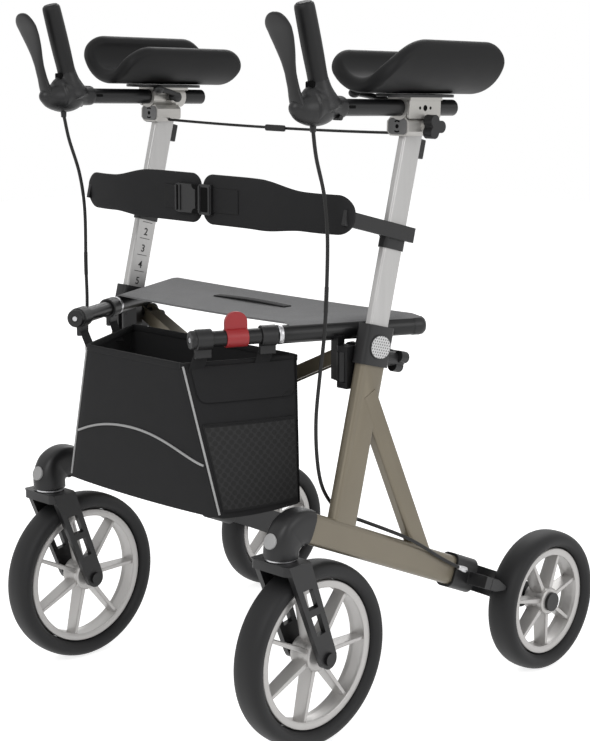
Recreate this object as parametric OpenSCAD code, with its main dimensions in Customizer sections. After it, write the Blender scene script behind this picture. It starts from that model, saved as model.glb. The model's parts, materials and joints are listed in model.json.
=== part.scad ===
// Upright walker: a folding rollator with forearm supports, four wheels, a sling seat and a bag.
// Units are millimetres. +X is the user's left, -Y is the front, +Z is up, and the floor is z = 0.

/* [Wheels] */
// Diameter of a front wheel over its tyre
front_wheel_d = 254; // [230:1:270]
// Diameter of a rear wheel over its tyre
rear_wheel_d = 210; // [190:1:220]
// Width of every tyre
tyre_w = 46; // [36:1:50]
// Height of a tyre from the rim to the tread
tyre_h = 25; // [18:1:28]
// Height of the rim band under the tyre
rim_band = 10; // [6:1:14]
// Spokes in each wheel
spoke_count = 7; // [5:1:9]
// Thickness of a spoke blade
spoke_t = 6; // [4:1:9]
// Diameter of the front hubs
front_hub_d = 44; // [34:1:56]
// Diameter of the rear hubs
rear_hub_d = 40; // [34:1:52]
// Diameter of every wheel axle
axle_d = 12; // [8:0.5:14]
// Half the distance between the front wheels
front_x = 245; // [235:1:250]
// Half the distance between the rear wheels
rear_x = 288; // [284:1:300]
// Front axle, from the middle of the wheelbase
front_y = -214; // [-220:1:-205]
// Rear axle behind the end of the lower tube
rear_reach = 158.8; // [150:0.1:170]

/* [Casters] */
// Distance of the swivel axis ahead of the front axle
trail = 55; // [50:1:58]
// Height of the underside of the caster head
head_bottom = 273; // [270:1:280]
// Bend radius of the elbow in the caster head
elbow_r = 27; // [26:0.5:30]
// Wall of the caster head around the lower tube
head_wall = 3; // [2.5:0.5:4]
// Diameter of the swivel stem
stem_d = 12; // [8:1:16]
// Length of stem inside the head
stem_len = 26; // [18:1:34]
// Thickness of a fork leg
leg_t = 9; // [6:0.5:11]
// Space between a tyre and a fork leg
leg_gap = 3.5; // [2.5:0.5:6]
// Thickness of the fork crown
crown_t = 13; // [10:0.5:13]
// Length of the fork crown along the walker
crown_l = 46; // [38:1:48]

/* [Side frame] */
// Half the distance between the side frames
frame_x = 251; // [247:1:253]
// Width of the lower tube
tube_w = 25; // [20:1:26]
// Height of the lower tube
tube_h = 42; // [36:1:44]
// Corner radius of the lower tube
tube_r = 8; // [4:0.5:9]
// Wall of every frame tube
tube_wall = 2; // [1.5:0.25:3]
// Front end of the lower tube along the walker
tube_front_y = -236; // [-240:1:-232]
// Front end of the lower tube above the floor
tube_front_z = 308; // [304:1:312]
// Fall of the lower tube towards the rear, in degrees
tube_drop = 22.9; // [21.5:0.1:24]
// Length of the lower tube
tube_len = 340; // [330:1:350]
// Place of the upright along the lower tube
upright_at = 76; // [70:1:82]
// Rearward lean of the upright and mast, in degrees
mast_lean = 14.4; // [13:0.1:16]
// Width of the upright
upright_w = 18; // [17:1:20]
// Depth of the upright
upright_d = 46; // [45:1:48]
// Corner radius of the upright
upright_r = 6; // [4:0.5:8]
// Length of the upright above the middle of the lower tube
upright_len = 253; // [246:1:260]
// Place of the brace along the lower tube
brace_at = 263; // [250:1:275]
// Height of the brace along the upright
brace_top = 196; // [180:1:204]
// Width of the brace
brace_w = 20; // [14:1:22]
// Depth of the brace
brace_d = 30; // [22:1:34]

/* [Masts] */
// Width of the mast
mast_w = 12; // [11:0.5:13]
// Depth of the mast
mast_d = 37; // [35:0.5:38]
// Length of the mast
mast_len = 420; // [405:1:430]
// Length of mast that stands above the upright
mast_out = 308; // [300:1:312]
// Sliding clearance of the mast in its collar
slide_gap = 0.3; // [0.2:0.05:0.5]
// Wall of the height collar
collar_wall = 3.5; // [3:0.5:5]
// Length of collar that grips the upright
collar_below = 20; // [15:1:25]
// Length of collar above the upright
collar_above = 34; // [28:1:40]
// Span of the three lobes on the clamping knobs
knob_d = 34; // [28:1:36]
// Diameter of the knob studs
stud_d = 6; // [5:0.5:8]

/* [Seat] */
// Rise of the middle of the seat rails above the uprights
rail_rise = 23.5; // [21:0.5:28]
// Rear end of a seat rail, from the middle of the walker
rail_rear_x = 253; // [250:1:256]
// Rear end of a seat rail behind the top of the upright
rail_back = 93; // [88:1:100]
// Inward turn of the seat rails towards the front, in degrees
rail_yaw = 23.8; // [22:0.1:25]
// Diameter of a rail under the seat
rail_d = 25; // [22:0.5:27]
// Length of rail under the seat
rail_len = 205; // [190:1:210]
// Diameter of the bag bar ahead of the seat
bar_d = 21; // [18:0.5:24]
// Length of the bag bar ahead of the seat
bar_len = 122; // [116:1:130]
// Thickness of the seat sling
sling_t = 3.2; // [2:0.2:5]
// Gate pivot of a seat rail, from the middle of the walker
gate_x = 224; // [222:1:226]
// Gate pivot of a seat rail ahead of the top of the upright
gate_ahead = 27; // [25:1:30]
// Diameter of the gate and link pins
pin_d = 8; // [6:0.5:9]
// Hinge of a fold link, from the middle of the walker
link_x = 219; // [216:1:220]
// Hinge of a fold link behind the top of the upright
link_back = 6; // [5:1:8]
// Hinge of a fold link below the top of the upright
link_under = 0.5; // [0:0.5:4]
// Fall of a fold link from its hinge to the middle
link_fall = 100; // [90:1:110]
// Height of the fold link section
link_h = 19; // [16:0.5:20]
// Width of the fold link section
link_w = 23; // [20:0.5:25]
// Wall of the fold link section
link_wall = 3; // [2:0.5:4]

/* [Forearm supports] */
// Half the distance between the forearm tubes
arm_x = 254; // [251:1:256]
// Height of a forearm tube above the mast top
arm_rise = 19.7; // [18:0.1:22]
// Rise of a forearm tube towards the front, in degrees
arm_tilt = 2; // [0:0.1:4]
// Diameter of a forearm tube
arm_d = 22; // [19:0.5:25]
// Wall of a forearm tube
arm_wall = 2; // [1.5:0.25:3]
// Length of forearm tube behind the mast top
arm_rear = 76; // [70:1:84]
// Distance of the hand post ahead of the mast top
post_y = 181; // [175:1:186]
// Length of the clamp along the forearm tube
clamp_l = 64; // [54:1:70]
// Wall of the clamp around the forearm tube
clamp_wall = 5; // [4:0.5:6]
// Length of a forearm pad
pad_l = 250; // [235:1:260]
// Half the width between the middles of a pad's walls
pad_half = 50; // [44:1:54]
// Rise of the middle of a pad's outer wall
pad_rise = 46; // [36:1:50]
// Half the thickness of a pad
pad_t = 10; // [7:0.5:11]
// Thickness of the plate under a pad
plate_t = 4; // [3:0.5:6]
// Length of the plate under a pad
plate_l = 130; // [110:1:150]
// Width of the plate under a pad
plate_w = 46; // [42:1:60]

/* [Handles] */
// Forward lean of a hand grip from the forearm tube, in degrees
grip_lean = 15; // [12:0.5:18]
// Diameter of a hand grip
grip_d = 28; // [25:0.5:30]
// Lower end of a hand grip along its post
grip_from = 30; // [30:1:36]
// Length of a hand grip
grip_l = 101; // [95:1:108]
// Diameter of the post inside a hand grip
post_d = 20; // [16:0.5:22]
// Width of a brake housing
housing_w = 34; // [30:1:40]
// Reach of the lever pivot ahead of the mast top
lever_y = 216; // [212:1:220]
// Height of the lever pivot from the forearm tube
lever_z = 0; // [-3:1:3]
// Width of a brake lever paddle near its top
lever_w = 38; // [30:1:42]
// Thickness of a brake lever paddle
lever_t = 6; // [4:0.5:8]
// Length of a brake lever
lever_l = 120; // [112:1:126]

/* [Soft parts] */
// Top of the bag under the middle of the bag bars
bag_under = 35; // [30:1:47]
// Height of the bag
bag_h = 204; // [180:1:212]
// Front of the bag ahead of the rear end of the rails
bag_front = 296; // [286:1:302]
// Rear of the bag ahead of the rear end of the rails
bag_back = 153; // [148:1:160]
// Wall of the bag
bag_wall = 3; // [2:0.5:5]
// Height of the back belt at its middle
belt_h = 70; // [60:1:80]
// Thickness of the back belt
belt_t = 10; // [6:0.5:14]
// Place of the belt arms along the mast
belt_at = 414; // [410:1:424]
// Reach of the belt arms ahead of the middle of the mast
belt_reach = 110; // [100:1:118]
// Diameter of a brake cable
cable_d = 5; // [4:0.5:6]
// Diameter of the elastic fold cord
cord_d = 4; // [3:0.5:6]

/* [Clearances] */
// Clearance of parts that are fixed to each other
fit = 0.1; // [0.05:0.05:0.2]
// Radial clearance of a running pin or axle
run = 0.06; // [0.02:0.01:0.1]
// Gap between faces that move past each other
gap = 0.4; // [0.3:0.1:0.8]

/* [Hidden] */
$fn = 48;
frame_c = [0.50, 0.48, 0.42];
silver_c = [0.73, 0.72, 0.70];
grey_c = [0.72, 0.70, 0.69];
black_c = [0.17, 0.17, 0.18];
rubber_c = [0.12, 0.12, 0.12];
fabric_c = [0.20, 0.20, 0.21];
seat_c = [0.47, 0.47, 0.47];
red_c = [0.61, 0.16, 0.17];

front_r = front_wheel_d / 2;
rear_r = rear_wheel_d / 2;
axle_r = axle_d / 2;
hub_w = tyre_w - 10;
stem_y = front_y - trail;

// Place of the upright's foot, where its axis meets the axis of the lower tube
foot_y = tube_front_y + upright_at * cos(tube_drop);
foot_z = tube_front_z - upright_at * sin(tube_drop);
function mast_y(s) = foot_y + s * sin(mast_lean);
function mast_z(s) = foot_z + s * cos(mast_lean);
mast_top = upright_len + mast_out;
top_y = mast_y(mast_top);
top_z = mast_z(mast_top);
seat_y = mast_y(upright_len);
seat_z = mast_z(upright_len);
rail_z = seat_z + rail_rise;
rail_rear_y = seat_y + rail_back;
gate_y = seat_y - gate_ahead;
link_y = seat_y + link_back;
link_z = seat_z - link_under;
bag_top = rail_z - bag_under;
bag_bottom = bag_top - bag_h;
bag_front_y = rail_rear_y - bag_front;
bag_rear_y = rail_rear_y - bag_back;

// Brace from the lower tube up to the upright
brace_y = tube_front_y + brace_at * cos(tube_drop);
brace_z = tube_front_z - brace_at * sin(tube_drop);
brace_dy = mast_y(brace_top) - brace_y;
brace_dz = mast_z(brace_top) - brace_z;
brace_len = norm([brace_dy, brace_dz]);
brace_turn = atan2(brace_dy, brace_dz);

// Collar around the upright and the mast
collar_w = upright_w + 2 * collar_wall;
collar_d = upright_d + 2 * collar_wall;
collar_from = upright_len - collar_below;
collar_h = collar_below + collar_above;
collar_boss = 18;
collar_boss_r = 10;
knob_t = 15;
knob_at = -6;

// Elbow of the caster head, worked out so that it ends on the axis of the lower tube
head_x = (front_x + frame_x) / 2;
head_w = tube_w + (frame_x - front_x) + 2 * head_wall;
head_h = tube_h + 2 * head_wall;
elbow_turn = 90 + tube_drop;
elbow_end_y = stem_y + elbow_r * (1 + sin(tube_drop));
elbow_along = (elbow_end_y - tube_front_y) / cos(tube_drop);
elbow_z = tube_front_z - elbow_along * sin(tube_drop) - elbow_r * cos(tube_drop);
head_sleeve = 6.5;
plug_l = 34;
head_lip = 1;
tube_in = elbow_along + 1;
bearing_r = 15;

// Fork around the front wheel
crown_top = head_bottom - 4;
leg_in = tyre_w / 2 + leg_gap;
crown_w = 2 * (leg_in + leg_t);
leg_eye = 14;
leg_head = 40;

// Rear end of the lower tube
tail_y = tube_front_y + tube_len * cos(tube_drop);
tail_z = tube_front_z - tube_len * sin(tube_drop);
bracket_wall = 4;
bracket_grip = 18;
bracket_l = 48;
bar_t = 10;
bar_x = frame_x - 6;
bar_eye = 20;
rear_y = tail_y + rear_reach;
shoe_pin = 8;
shoe_gap = 3.2;
shoe_w = 24;
shoe_h = 18;
shoe_l = 37;
shoe_from = -rear_r - shoe_gap - shoe_l;
guide_t = 14;
guide_l = 24;

// Forearm clamp and what sits on it
arm_r = arm_d / 2;
saddle_r = arm_r + clamp_wall;
flange_z = arm_r + 3;
plate_z = flange_z + plate_t;
plate_r = 20;
pad_z = plate_z + gap + pad_t;
block_w = mast_w + 26;
block_cut = 6;
block_front = mast_d / 2 + 11.5;
block_rear = mast_d / 2 - 2.5;
block_low = arm_rise + 17.3;
clamp_boss_r = 9;
clamp_boss_l = 6;
clamp_knob_y = 4;
clamp_knob_z = -block_low + 13;
cam_x = -saddle_r - 9;
cam_l = 86;
cam_t = 9;
lug_t = 3;
lug_r = 7;

// Seat rails, bag bars and the brackets that hold them
rail_r = rail_d / 2;
bar_r = bar_d / 2;
gate_r = 9;
gate_low = seat_z - 41.5;
gate_high = seat_z - 0.5;
ear_t = 8;
bracket_t = 4;
pin_r = pin_d / 2;
link_len = norm([link_x, link_fall]);
link_angle = atan2(link_fall, link_x);
tongue_l = 62;
tongue_w = 9;
eye_r = link_h / 2;
clip_w = 14;
clip_t = 4;
clip_places = [rail_len + 16, rail_len + bar_len - 16];
strap_t = 3;

// Points of a place along the left seat rail
function rail_x(s) = rail_rear_x - s * sin(rail_yaw);
function rail_y(s) = rail_rear_y - s * cos(rail_yaw);

// Route of the left brake cable: down beside the mast, round the upright and along the lower tube
belly_back = 10;
belly_drop = 8;
belly_r = 19;
function arm_y(y, z) = top_y + y * cos(arm_tilt) + z * sin(arm_tilt);
function arm_z(y, z) = top_z + arm_rise - y * sin(arm_tilt) + z * cos(arm_tilt);
cable_low = -belly_drop - belly_r - 1;
cable_top = [arm_x - 1, arm_y(-post_y - belly_back - 1, cable_low), arm_z(-post_y - belly_back - 1, cable_low)];
cable_turn = [frame_x - 19, foot_y - 22, foot_z + 71.6];
cable_side = frame_x + tube_w / 2 + bracket_wall + cable_d / 2 + gap;
// Share of the way from the top to the turn, and how far the cable bows out there
cable_bows = [
    [0, 0, 0], [0.074, 1.6, 3.7], [0.181, 3.8, 15.4], [0.298, 6.3, 17.8], [0.468, 9.8, 10.5],
    [0.574, 10.1, 3.2], [0.687, 9.4, -8.3], [0.8, 7.8, -15.8], [0.911, 4.1, -12.2], [1, 0, 0]
];
// Share of the way from the upright to the end of the lower tube, height over its axis, and reach to the side
cable_runs = [
    [-0.064, 40.1, -21], [0.053, 33.7, -19], [0.169, 33.5, -8], [0.304, 31.2, 7], [0.442, 27.1, 16],
    [0.593, 20.1, 18], [0.752, 12.9, 18]
];
cable_ends = [[0.892, 7.8], [0.9936, 6.1]];
function along_tube(share) = upright_at + share * (tube_len - upright_at);
function tube_y(along, up) = tube_front_y + along * cos(tube_drop) + up * sin(tube_drop);
function tube_z(along, up) = tube_front_z - along * sin(tube_drop) + up * cos(tube_drop);
cable_route = concat(
    [for (b = cable_bows) cable_top * (1 - b[0]) + cable_turn * b[0] + [b[1], b[2], 0]],
    [for (c = cable_runs) [frame_x + c[2], tube_y(along_tube(c[0]), c[1]), tube_z(along_tube(c[0]), c[1])]],
    [for (c = cable_ends) [cable_side, tube_y(along_tube(c[0]), c[1]), tube_z(along_tube(c[0]), c[1])]]
);
// Route of the fold cord between the two clamp heads, with a light sag
cord_end = [frame_x - block_w / 2 - gap, top_y - 6.5, top_z + arm_rise - block_low + block_cut + 1];
cord_sag = 2;
cord_route = [
    for (i = [-3:3]) [-cord_end[0] * i / 3, cord_end[1], cord_end[2] - cord_sag * (1 - i * i / 9)]
];

// Shared shapes

module round_rect(w, h, r) {
    square([w - 2 * r, h], center = true);
    square([w, h - 2 * r], center = true);
    for (sx = [-1, 1], sy = [-1, 1])
        translate([sx * (w / 2 - r), sy * (h / 2 - r)]) circle(r);
}

module along_x(from, w) {
    translate([from, 0, 0]) rotate([90, 0, 90]) linear_extrude(w) children();
}

module along_y(from, w) {
    translate([0, from + w, 0]) rotate([90, 0, 0]) linear_extrude(w) children();
}

module on_tube(along) {
    translate([frame_x, tube_front_y, tube_front_z])
        rotate([-(90 + tube_drop), 0, 0]) translate([0, 0, along]) children();
}

module on_brake() {
    translate([rear_x, rear_y, rear_r]) rotate([-(90 + tube_drop), 0, 0]) children();
}

module on_mast(along) {
    translate([frame_x, foot_y, foot_z])
        rotate([-mast_lean, 0, 0]) translate([0, 0, along]) children();
}

module on_brace() {
    translate([frame_x, brace_y, brace_z]) rotate([-brace_turn, 0, 0]) children();
}

module on_arm() {
    translate([arm_x, top_y, top_z + arm_rise]) rotate([-arm_tilt, 0, 0]) children();
}

module on_post() {
    on_arm() translate([0, -post_y, 0]) rotate([grip_lean, 0, 0]) children();
}

module on_rail(along) {
    translate([rail_rear_x, rail_rear_y, rail_z])
        rotate([90, 0, -rail_yaw]) translate([0, 0, along]) children();
}

module on_link() {
    translate([link_x, link_y, link_z]) rotate([0, -link_angle, 0]) children();
}

module on_wheel(x, y, r) {
    translate([x, y, r]) rotate([0, 90, 0]) children();
}

module right() {
    mirror([1, 0, 0]) children();
}

// A round tube swept along a list of points, with a ring of sides at each point
function unit(v) = v / norm(v);
function sweep_dir(p, i) = unit(p[min(i + 1, len(p) - 1)] - p[max(i - 1, 0)]);
function sweep_side(d) = unit(cross(d, [0.31, 0.87, 0.39]));
function sweep_points(p, r, n) = [
    for (i = [0:len(p) - 1])
        let (d = sweep_dir(p, i), a = sweep_side(d), b = cross(d, a))
            for (k = [0:n - 1]) p[i] + r * (cos(360 * k / n) * a + sin(360 * k / n) * b)
];
function strip_faces(rings, n) = [
    for (i = [0:rings - 2], k = [0:n - 1])
        let (a = i * n + k, b = i * n + (k + 1) % n)
            each [[a, b + n, b], [a, a + n, b + n]]
];
function cap_faces(rings, n) = [
    for (k = [1:n - 2]) each [
        [0, k, k + 1],
        [(rings - 1) * n, (rings - 1) * n + k + 1, (rings - 1) * n + k]
    ]
];

module sweep(p, r, n = 8) {
    polyhedron(sweep_points(p, r, n), concat(strip_faces(len(p), n), cap_faces(len(p), n)));
}

// Points added between the given ones on a smooth curve through all of them
function curve_at(a, b, c, d, t) =
    0.5 * (2 * b + (c - a) * t + (2 * a - 5 * b + 4 * c - d) * t * t + (3 * b - a - 3 * c + d) * t * t * t);
function smooth(p, n) = concat([
    for (i = [0:len(p) - 2], k = [0:n - 1])
        curve_at(p[max(i - 1, 0)], p[i], p[i + 1], p[min(i + 2, len(p) - 1)], k / n)
], [p[len(p) - 1]]);

// Three-lobed clamping knob with its stud, standing along +Z from its seat
module lobed_knob(stud_l) {
    lobe_r = knob_d * 0.24;
    linear_extrude(knob_t) {
        circle(knob_d * 0.28);
        for (a = [90, 210, 330])
            rotate(a) translate([knob_d / 2 - lobe_r, 0]) circle(lobe_r);
    }
    translate([0, 0, -stud_l]) cylinder(r = stud_d / 2, h = stud_l + 1);
}

// Spoked rim about the Z axis, with its hub and bore
module spoked_rim(outer_r, hub_r) {
    difference() {
        union() {
            translate([0, 0, -hub_w / 2]) linear_extrude(hub_w) difference() {
                circle(outer_r);
                circle(outer_r - rim_band);
            }
            for (i = [0:spoke_count - 1])
                rotate(360 * i / spoke_count)
                    translate([hub_r - 4, -spoke_t / 2, -hub_w / 2 + 3])
                        cube([outer_r - hub_r - rim_band / 2 + 4, spoke_t, hub_w - 6]);
            cylinder(r = hub_r, h = hub_w, center = true);
        }
        cylinder(r = axle_r + run, h = hub_w + 2, center = true);
    }
}

module tyre_ring(outer_r) {
    inner_r = outer_r - tyre_h + fit;
    shoulder = 12;
    rotate_extrude($fn = 96) translate([(outer_r + inner_r) / 2, 0])
        round_rect(outer_r - inner_r, tyre_w, shoulder);
}

// Welded side frame and what is fixed to it

module side_frame() {
    color(frame_c) difference() {
        union() {
            on_tube(tube_in) linear_extrude(tube_len - tube_in) round_rect(tube_w, tube_h, tube_r);
            on_mast(0) linear_extrude(upright_len) round_rect(upright_w, upright_d, upright_r);
            on_brace() linear_extrude(brace_len) round_rect(brace_w, brace_d, upright_r);
        }
        on_tube(0) linear_extrude(tube_len + 1)
            round_rect(tube_w - 2 * tube_wall, tube_h - 2 * tube_wall, tube_r - tube_wall);
        on_mast(tube_h / 2 + 3) linear_extrude(upright_len)
            round_rect(upright_w - 2 * tube_wall, upright_d - 2 * tube_wall, upright_r - tube_wall);
        on_brace() linear_extrude(brace_len - upright_d)
            round_rect(brace_w - 2 * tube_wall, brace_d - 2 * tube_wall, upright_r - tube_wall);
        on_mast(upright_len + knob_at) rotate([-90, 0, 0]) cylinder(r = stud_d / 2 + 1, h = upright_d);
    }
}

module mast_section(extra) {
    round_rect(mast_w + 2 * extra, mast_d + 2 * extra, 4 + extra);
}

module mast() {
    color(silver_c) on_mast(mast_top - mast_len) linear_extrude(mast_len) difference() {
        mast_section(0);
        round_rect(mast_w - 2 * tube_wall, mast_d - 2 * tube_wall, 2);
    }
}

// Bracket on the inner face of the collar, with the pins of the seat rail and the fold link
module seat_bracket() {
    inner = frame_x - collar_w / 2;
    plate_rear = link_y + link_w / 2 + gap + ear_t / 2;
    along_x(inner - bracket_t + 0.5, bracket_t) polygon([
        [gate_y - gate_r, gate_low - ear_t], [plate_rear, gate_low - ear_t],
        [plate_rear, gate_high], [gate_y - gate_r, gate_high + ear_t]
    ]);
    for (z = [gate_low - ear_t, gate_high]) translate([0, 0, z]) linear_extrude(ear_t) {
        translate([gate_x, gate_y]) circle(gate_r);
        translate([gate_x, gate_y - gate_r]) square([inner - gate_x, 2 * gate_r]);
    }
    translate([gate_x, gate_y, gate_low - 1]) cylinder(r = pin_r, h = gate_high - gate_low + 2);
    for (y = [link_y - link_w / 2 - gap - ear_t / 2, link_y + link_w / 2 + gap])
        along_y(y, ear_t / 2) {
            translate([link_x, link_z]) circle(eye_r);
            translate([link_x, link_z - eye_r]) square([inner - link_x + 1, 2 * eye_r]);
        }
    along_y(link_y - link_w / 2 - gap - 1, link_w + 2 * gap + 2)
        translate([link_x, link_z]) circle(pin_r);
}

module height_collar() {
    color(black_c) {
        difference() {
            union() {
                on_mast(collar_from) linear_extrude(collar_h)
                    round_rect(collar_w, collar_d, upright_r + 2);
                on_mast(upright_len + knob_at) rotate([-90, 0, 0])
                    translate([0, 0, mast_d / 2 + 2])
                        cylinder(r = collar_boss_r, h = (collar_d - mast_d) / 2 - 2 + collar_boss);
            }
            on_mast(collar_from - 1) linear_extrude(collar_below + 1 + fit)
                round_rect(upright_w + 2 * fit, upright_d + 2 * fit, upright_r + fit);
            on_mast(upright_len - 1) linear_extrude(collar_above + 2) mast_section(slide_gap);
            on_mast(upright_len + knob_at) rotate([-90, 0, 0])
                cylinder(r = stud_d / 2 + run, h = collar_d);
        }
        seat_bracket();
    }
}

module height_knob() {
    color(black_c) on_mast(upright_len + knob_at) rotate([-90, 0, 0])
        translate([0, 0, collar_d / 2 + collar_boss + gap])
            lobed_knob(collar_d / 2 + collar_boss - mast_d / 2 - slide_gap);
}

// Casters

module caster_head() {
    inside = tube_wall + fit;
    color(black_c) {
        difference() {
            union() {
                translate([head_x, stem_y + elbow_r, elbow_z])
                    rotate([0, -90, 0]) rotate([0, 0, -90]) elbow();
                on_tube(elbow_along - 1.5) translate([head_x - frame_x, 0, 0]) linear_extrude(head_sleeve)
                    round_rect(head_w + 2 * head_lip, head_h + 2 * head_lip, tube_r + head_wall + head_lip);
                translate([head_x, stem_y, head_bottom]) linear_extrude(elbow_z - head_bottom)
                    round_rect(head_w, head_h, tube_r + head_wall);
            }
            on_tube(tube_in - fit) linear_extrude(tube_len)
                round_rect(tube_w + 2 * fit, tube_h + 2 * fit, tube_r + fit);
            translate([front_x, stem_y, head_bottom - 1])
                cylinder(r = stem_d / 2 + run, h = stem_len + 1.5);
        }
        on_tube(tube_in - 1) linear_extrude(plug_l)
            round_rect(tube_w - 2 * inside, tube_h - 2 * inside, tube_r - inside);
    }
}

// Bent stretch of the caster head, from straight down to the line of the lower tube
module elbow() {
    rotate_extrude(angle = elbow_turn) translate([elbow_r, 0])
        round_rect(head_h, head_w, tube_r + head_wall);
}

// One edge point of a fork leg: t runs from the crown to the axle, side from front to rear
function leg_point(t, side) = [
    (stem_y - leg_head / 2 + side * leg_head) * (1 - t) + (front_y - leg_eye + 2 * side * leg_eye) * t,
    crown_top * (1 - t) + (front_r + (side - 0.5) * 8) * t
];

module leg_outline() {
    difference() {
        union() {
            polygon([leg_point(0, 0), leg_point(0, 1), leg_point(1, 1), leg_point(1, 0)]);
            translate([front_y, front_r]) circle(leg_eye);
        }
        for (t = [0.26, 0.53])
            polygon([
                leg_point(t, 0.26), leg_point(t, 0.74),
                leg_point(t + 0.2, 0.74), leg_point(t + 0.2, 0.26)
            ]);
        translate([front_y, front_r]) circle(axle_r + fit);
    }
}

module caster_fork() {
    color(black_c) {
        for (side = [-leg_in - leg_t, leg_in]) along_x(front_x + side, leg_t) leg_outline();
        translate([front_x, stem_y, crown_top - crown_t])
            linear_extrude(crown_t) round_rect(crown_w, crown_l, 10);
        translate([front_x, stem_y, crown_top - 1])
            cylinder(r = bearing_r, h = head_bottom - crown_top - gap + 1);
        translate([front_x, stem_y, crown_top - 1])
            cylinder(r = stem_d / 2, h = head_bottom - crown_top + stem_len);
    }
}

module front_rim() {
    color(grey_c) on_wheel(front_x, front_y, front_r) spoked_rim(front_r - tyre_h, front_hub_d / 2);
}

module front_tyre() {
    color(rubber_c) on_wheel(front_x, front_y, front_r) tyre_ring(front_r);
}

module front_axle() {
    half = leg_in + leg_t;
    color(silver_c) on_wheel(front_x, front_y, front_r) {
        cylinder(r = axle_r, h = 2 * half + 2, center = true);
        for (side = [-1, 1]) translate([0, 0, side * (half + 2)])
            cylinder(r = axle_r + 3, h = 4, center = true);
        for (side = [-1, 1]) translate([0, 0, side * (leg_in + hub_w / 2 + gap) / 2])
            cylinder(r = axle_r + 2.5, h = leg_in - hub_w / 2 - gap, center = true);
    }
}

// Rear wheels and brakes

module rear_bracket() {
    color(black_c) {
        difference() {
            on_tube(tube_len - bracket_grip) linear_extrude(bracket_l)
                round_rect(tube_w + 2 * bracket_wall, tube_h + 2 * bracket_wall, tube_r + bracket_wall);
            on_tube(tube_len - bracket_grip - 1) linear_extrude(bracket_grip + 1 + fit)
                round_rect(tube_w + 2 * fit, tube_h + 2 * fit, tube_r + fit);
        }
        along_x(bar_x, bar_t) difference() {
            union() {
                polygon([
                    [tail_y + 8, tail_z - 24], [tail_y + 24, tail_z + 10],
                    [rear_y, rear_r] + bar_eye * [0.35, 0.93], [rear_y, rear_r] - bar_eye * [0.35, 0.93]
                ]);
                translate([rear_y, rear_r]) circle(bar_eye);
            }
            translate([rear_y, rear_r]) circle(axle_r + fit);
        }
        on_brake() {
            translate([frame_x - rear_x, -shoe_h / 2, shoe_from - gap - guide_t])
                cube([rear_x - frame_x + shoe_w / 2, shoe_h, guide_t]);
            translate([0, 0, shoe_from - gap - 1]) cylinder(r = shoe_pin / 2, h = gap + 1 + guide_l);
        }
    }
}

module rear_rim() {
    color(grey_c) on_wheel(rear_x, rear_y, rear_r) spoked_rim(rear_r - tyre_h, rear_hub_d / 2);
}

module rear_tyre() {
    color(rubber_c) on_wheel(rear_x, rear_y, rear_r) tyre_ring(rear_r);
}

module rear_axle() {
    inner = bar_x - rear_x;
    color(silver_c) on_wheel(rear_x, rear_y, rear_r) {
        translate([0, 0, inner - 1]) cylinder(r = axle_r, h = hub_w / 2 - inner + 2);
        translate([0, 0, inner - 5]) cylinder(r = axle_r + 4, h = 5);
        translate([0, 0, inner + bar_t]) cylinder(r = axle_r + 4, h = -hub_w / 2 - gap - inner - bar_t);
        translate([0, 0, hub_w / 2 + gap]) cylinder(r = axle_r + 8, h = 4.5);
    }
}

// Finger that slides on the bracket's rod towards the tyre
module brake_shoe() {
    color(black_c) on_brake() difference() {
        along_x(-shoe_w / 2, shoe_w) polygon([
            [-shoe_h / 2, shoe_from], [shoe_h / 2, shoe_from], [shoe_h / 2, shoe_from + shoe_l * 0.4],
            [shoe_h / 6, shoe_from + shoe_l], [-shoe_h / 6, shoe_from + shoe_l],
            [-shoe_h / 2, shoe_from + shoe_l * 0.4]
        ]);
        translate([0, 0, shoe_from - 1]) cylinder(r = shoe_pin / 2 + run, h = guide_l + 3);
    }
}

// Forearm supports

module arm_clamp() {
    block_x = frame_x - arm_x;
    color(silver_c) difference() {
        on_arm() {
            along_y(-clamp_l / 2, clamp_l) circle(saddle_r);
            along_y(-block_front, block_front + block_rear) translate([block_x, 0]) block_outline();
            translate([-saddle_r - 4, -clamp_l / 2, flange_z - 4]) cube([2 * saddle_r + 8, clamp_l, 4]);
            translate([block_x, clamp_knob_y, clamp_knob_z]) rotate([0, 90, 0])
                cylinder(r = clamp_boss_r, h = block_w / 2 + clamp_boss_l);
            translate([cam_x, 0, -saddle_r / 2]) {
                linear_extrude(lug_t) cam_lug();
                translate([0, 0, lug_t + cam_t + 2 * gap]) linear_extrude(lug_t) cam_lug();
                cylinder(r = stud_d / 2, h = 2 * lug_t + cam_t + 2 * gap);
            }
        }
        on_arm() along_y(-clamp_l, 2 * clamp_l) circle(arm_r + run);
        on_arm() translate([-2 * saddle_r, -clamp_l, flange_z]) cube([4 * saddle_r, 2 * clamp_l, saddle_r]);
        on_mast(mast_top - mast_len) linear_extrude(mast_len + fit) mast_section(fit);
        on_arm() translate([block_x, clamp_knob_y, clamp_knob_z]) rotate([0, 90, 0])
            cylinder(r = stud_d / 2 + run, h = block_w);
    }
}

// Eight-sided barrel of the clamp head, seen along the walker
module block_outline() {
    half = block_w / 2;
    top = -arm_r - 1;
    polygon([
        [-half + block_cut, -block_low], [half - block_cut, -block_low], [half, -block_low + block_cut],
        [half, top - block_cut], [half - block_cut, top], [-half + block_cut, top],
        [-half, top - block_cut], [-half, -block_low + block_cut]
    ]);
}

module cam_lug() {
    circle(lug_r);
    translate([0, -lug_r]) square([-cam_x - arm_r - 2, 2 * lug_r]);
}

module clamp_knob() {
    color(black_c) on_arm()
        translate([frame_x - arm_x, clamp_knob_y, clamp_knob_z]) rotate([0, 90, 0])
            translate([0, 0, block_w / 2 + clamp_boss_l + gap])
                lobed_knob(block_w / 2 + clamp_boss_l - mast_w / 2 - gap);
}

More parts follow.
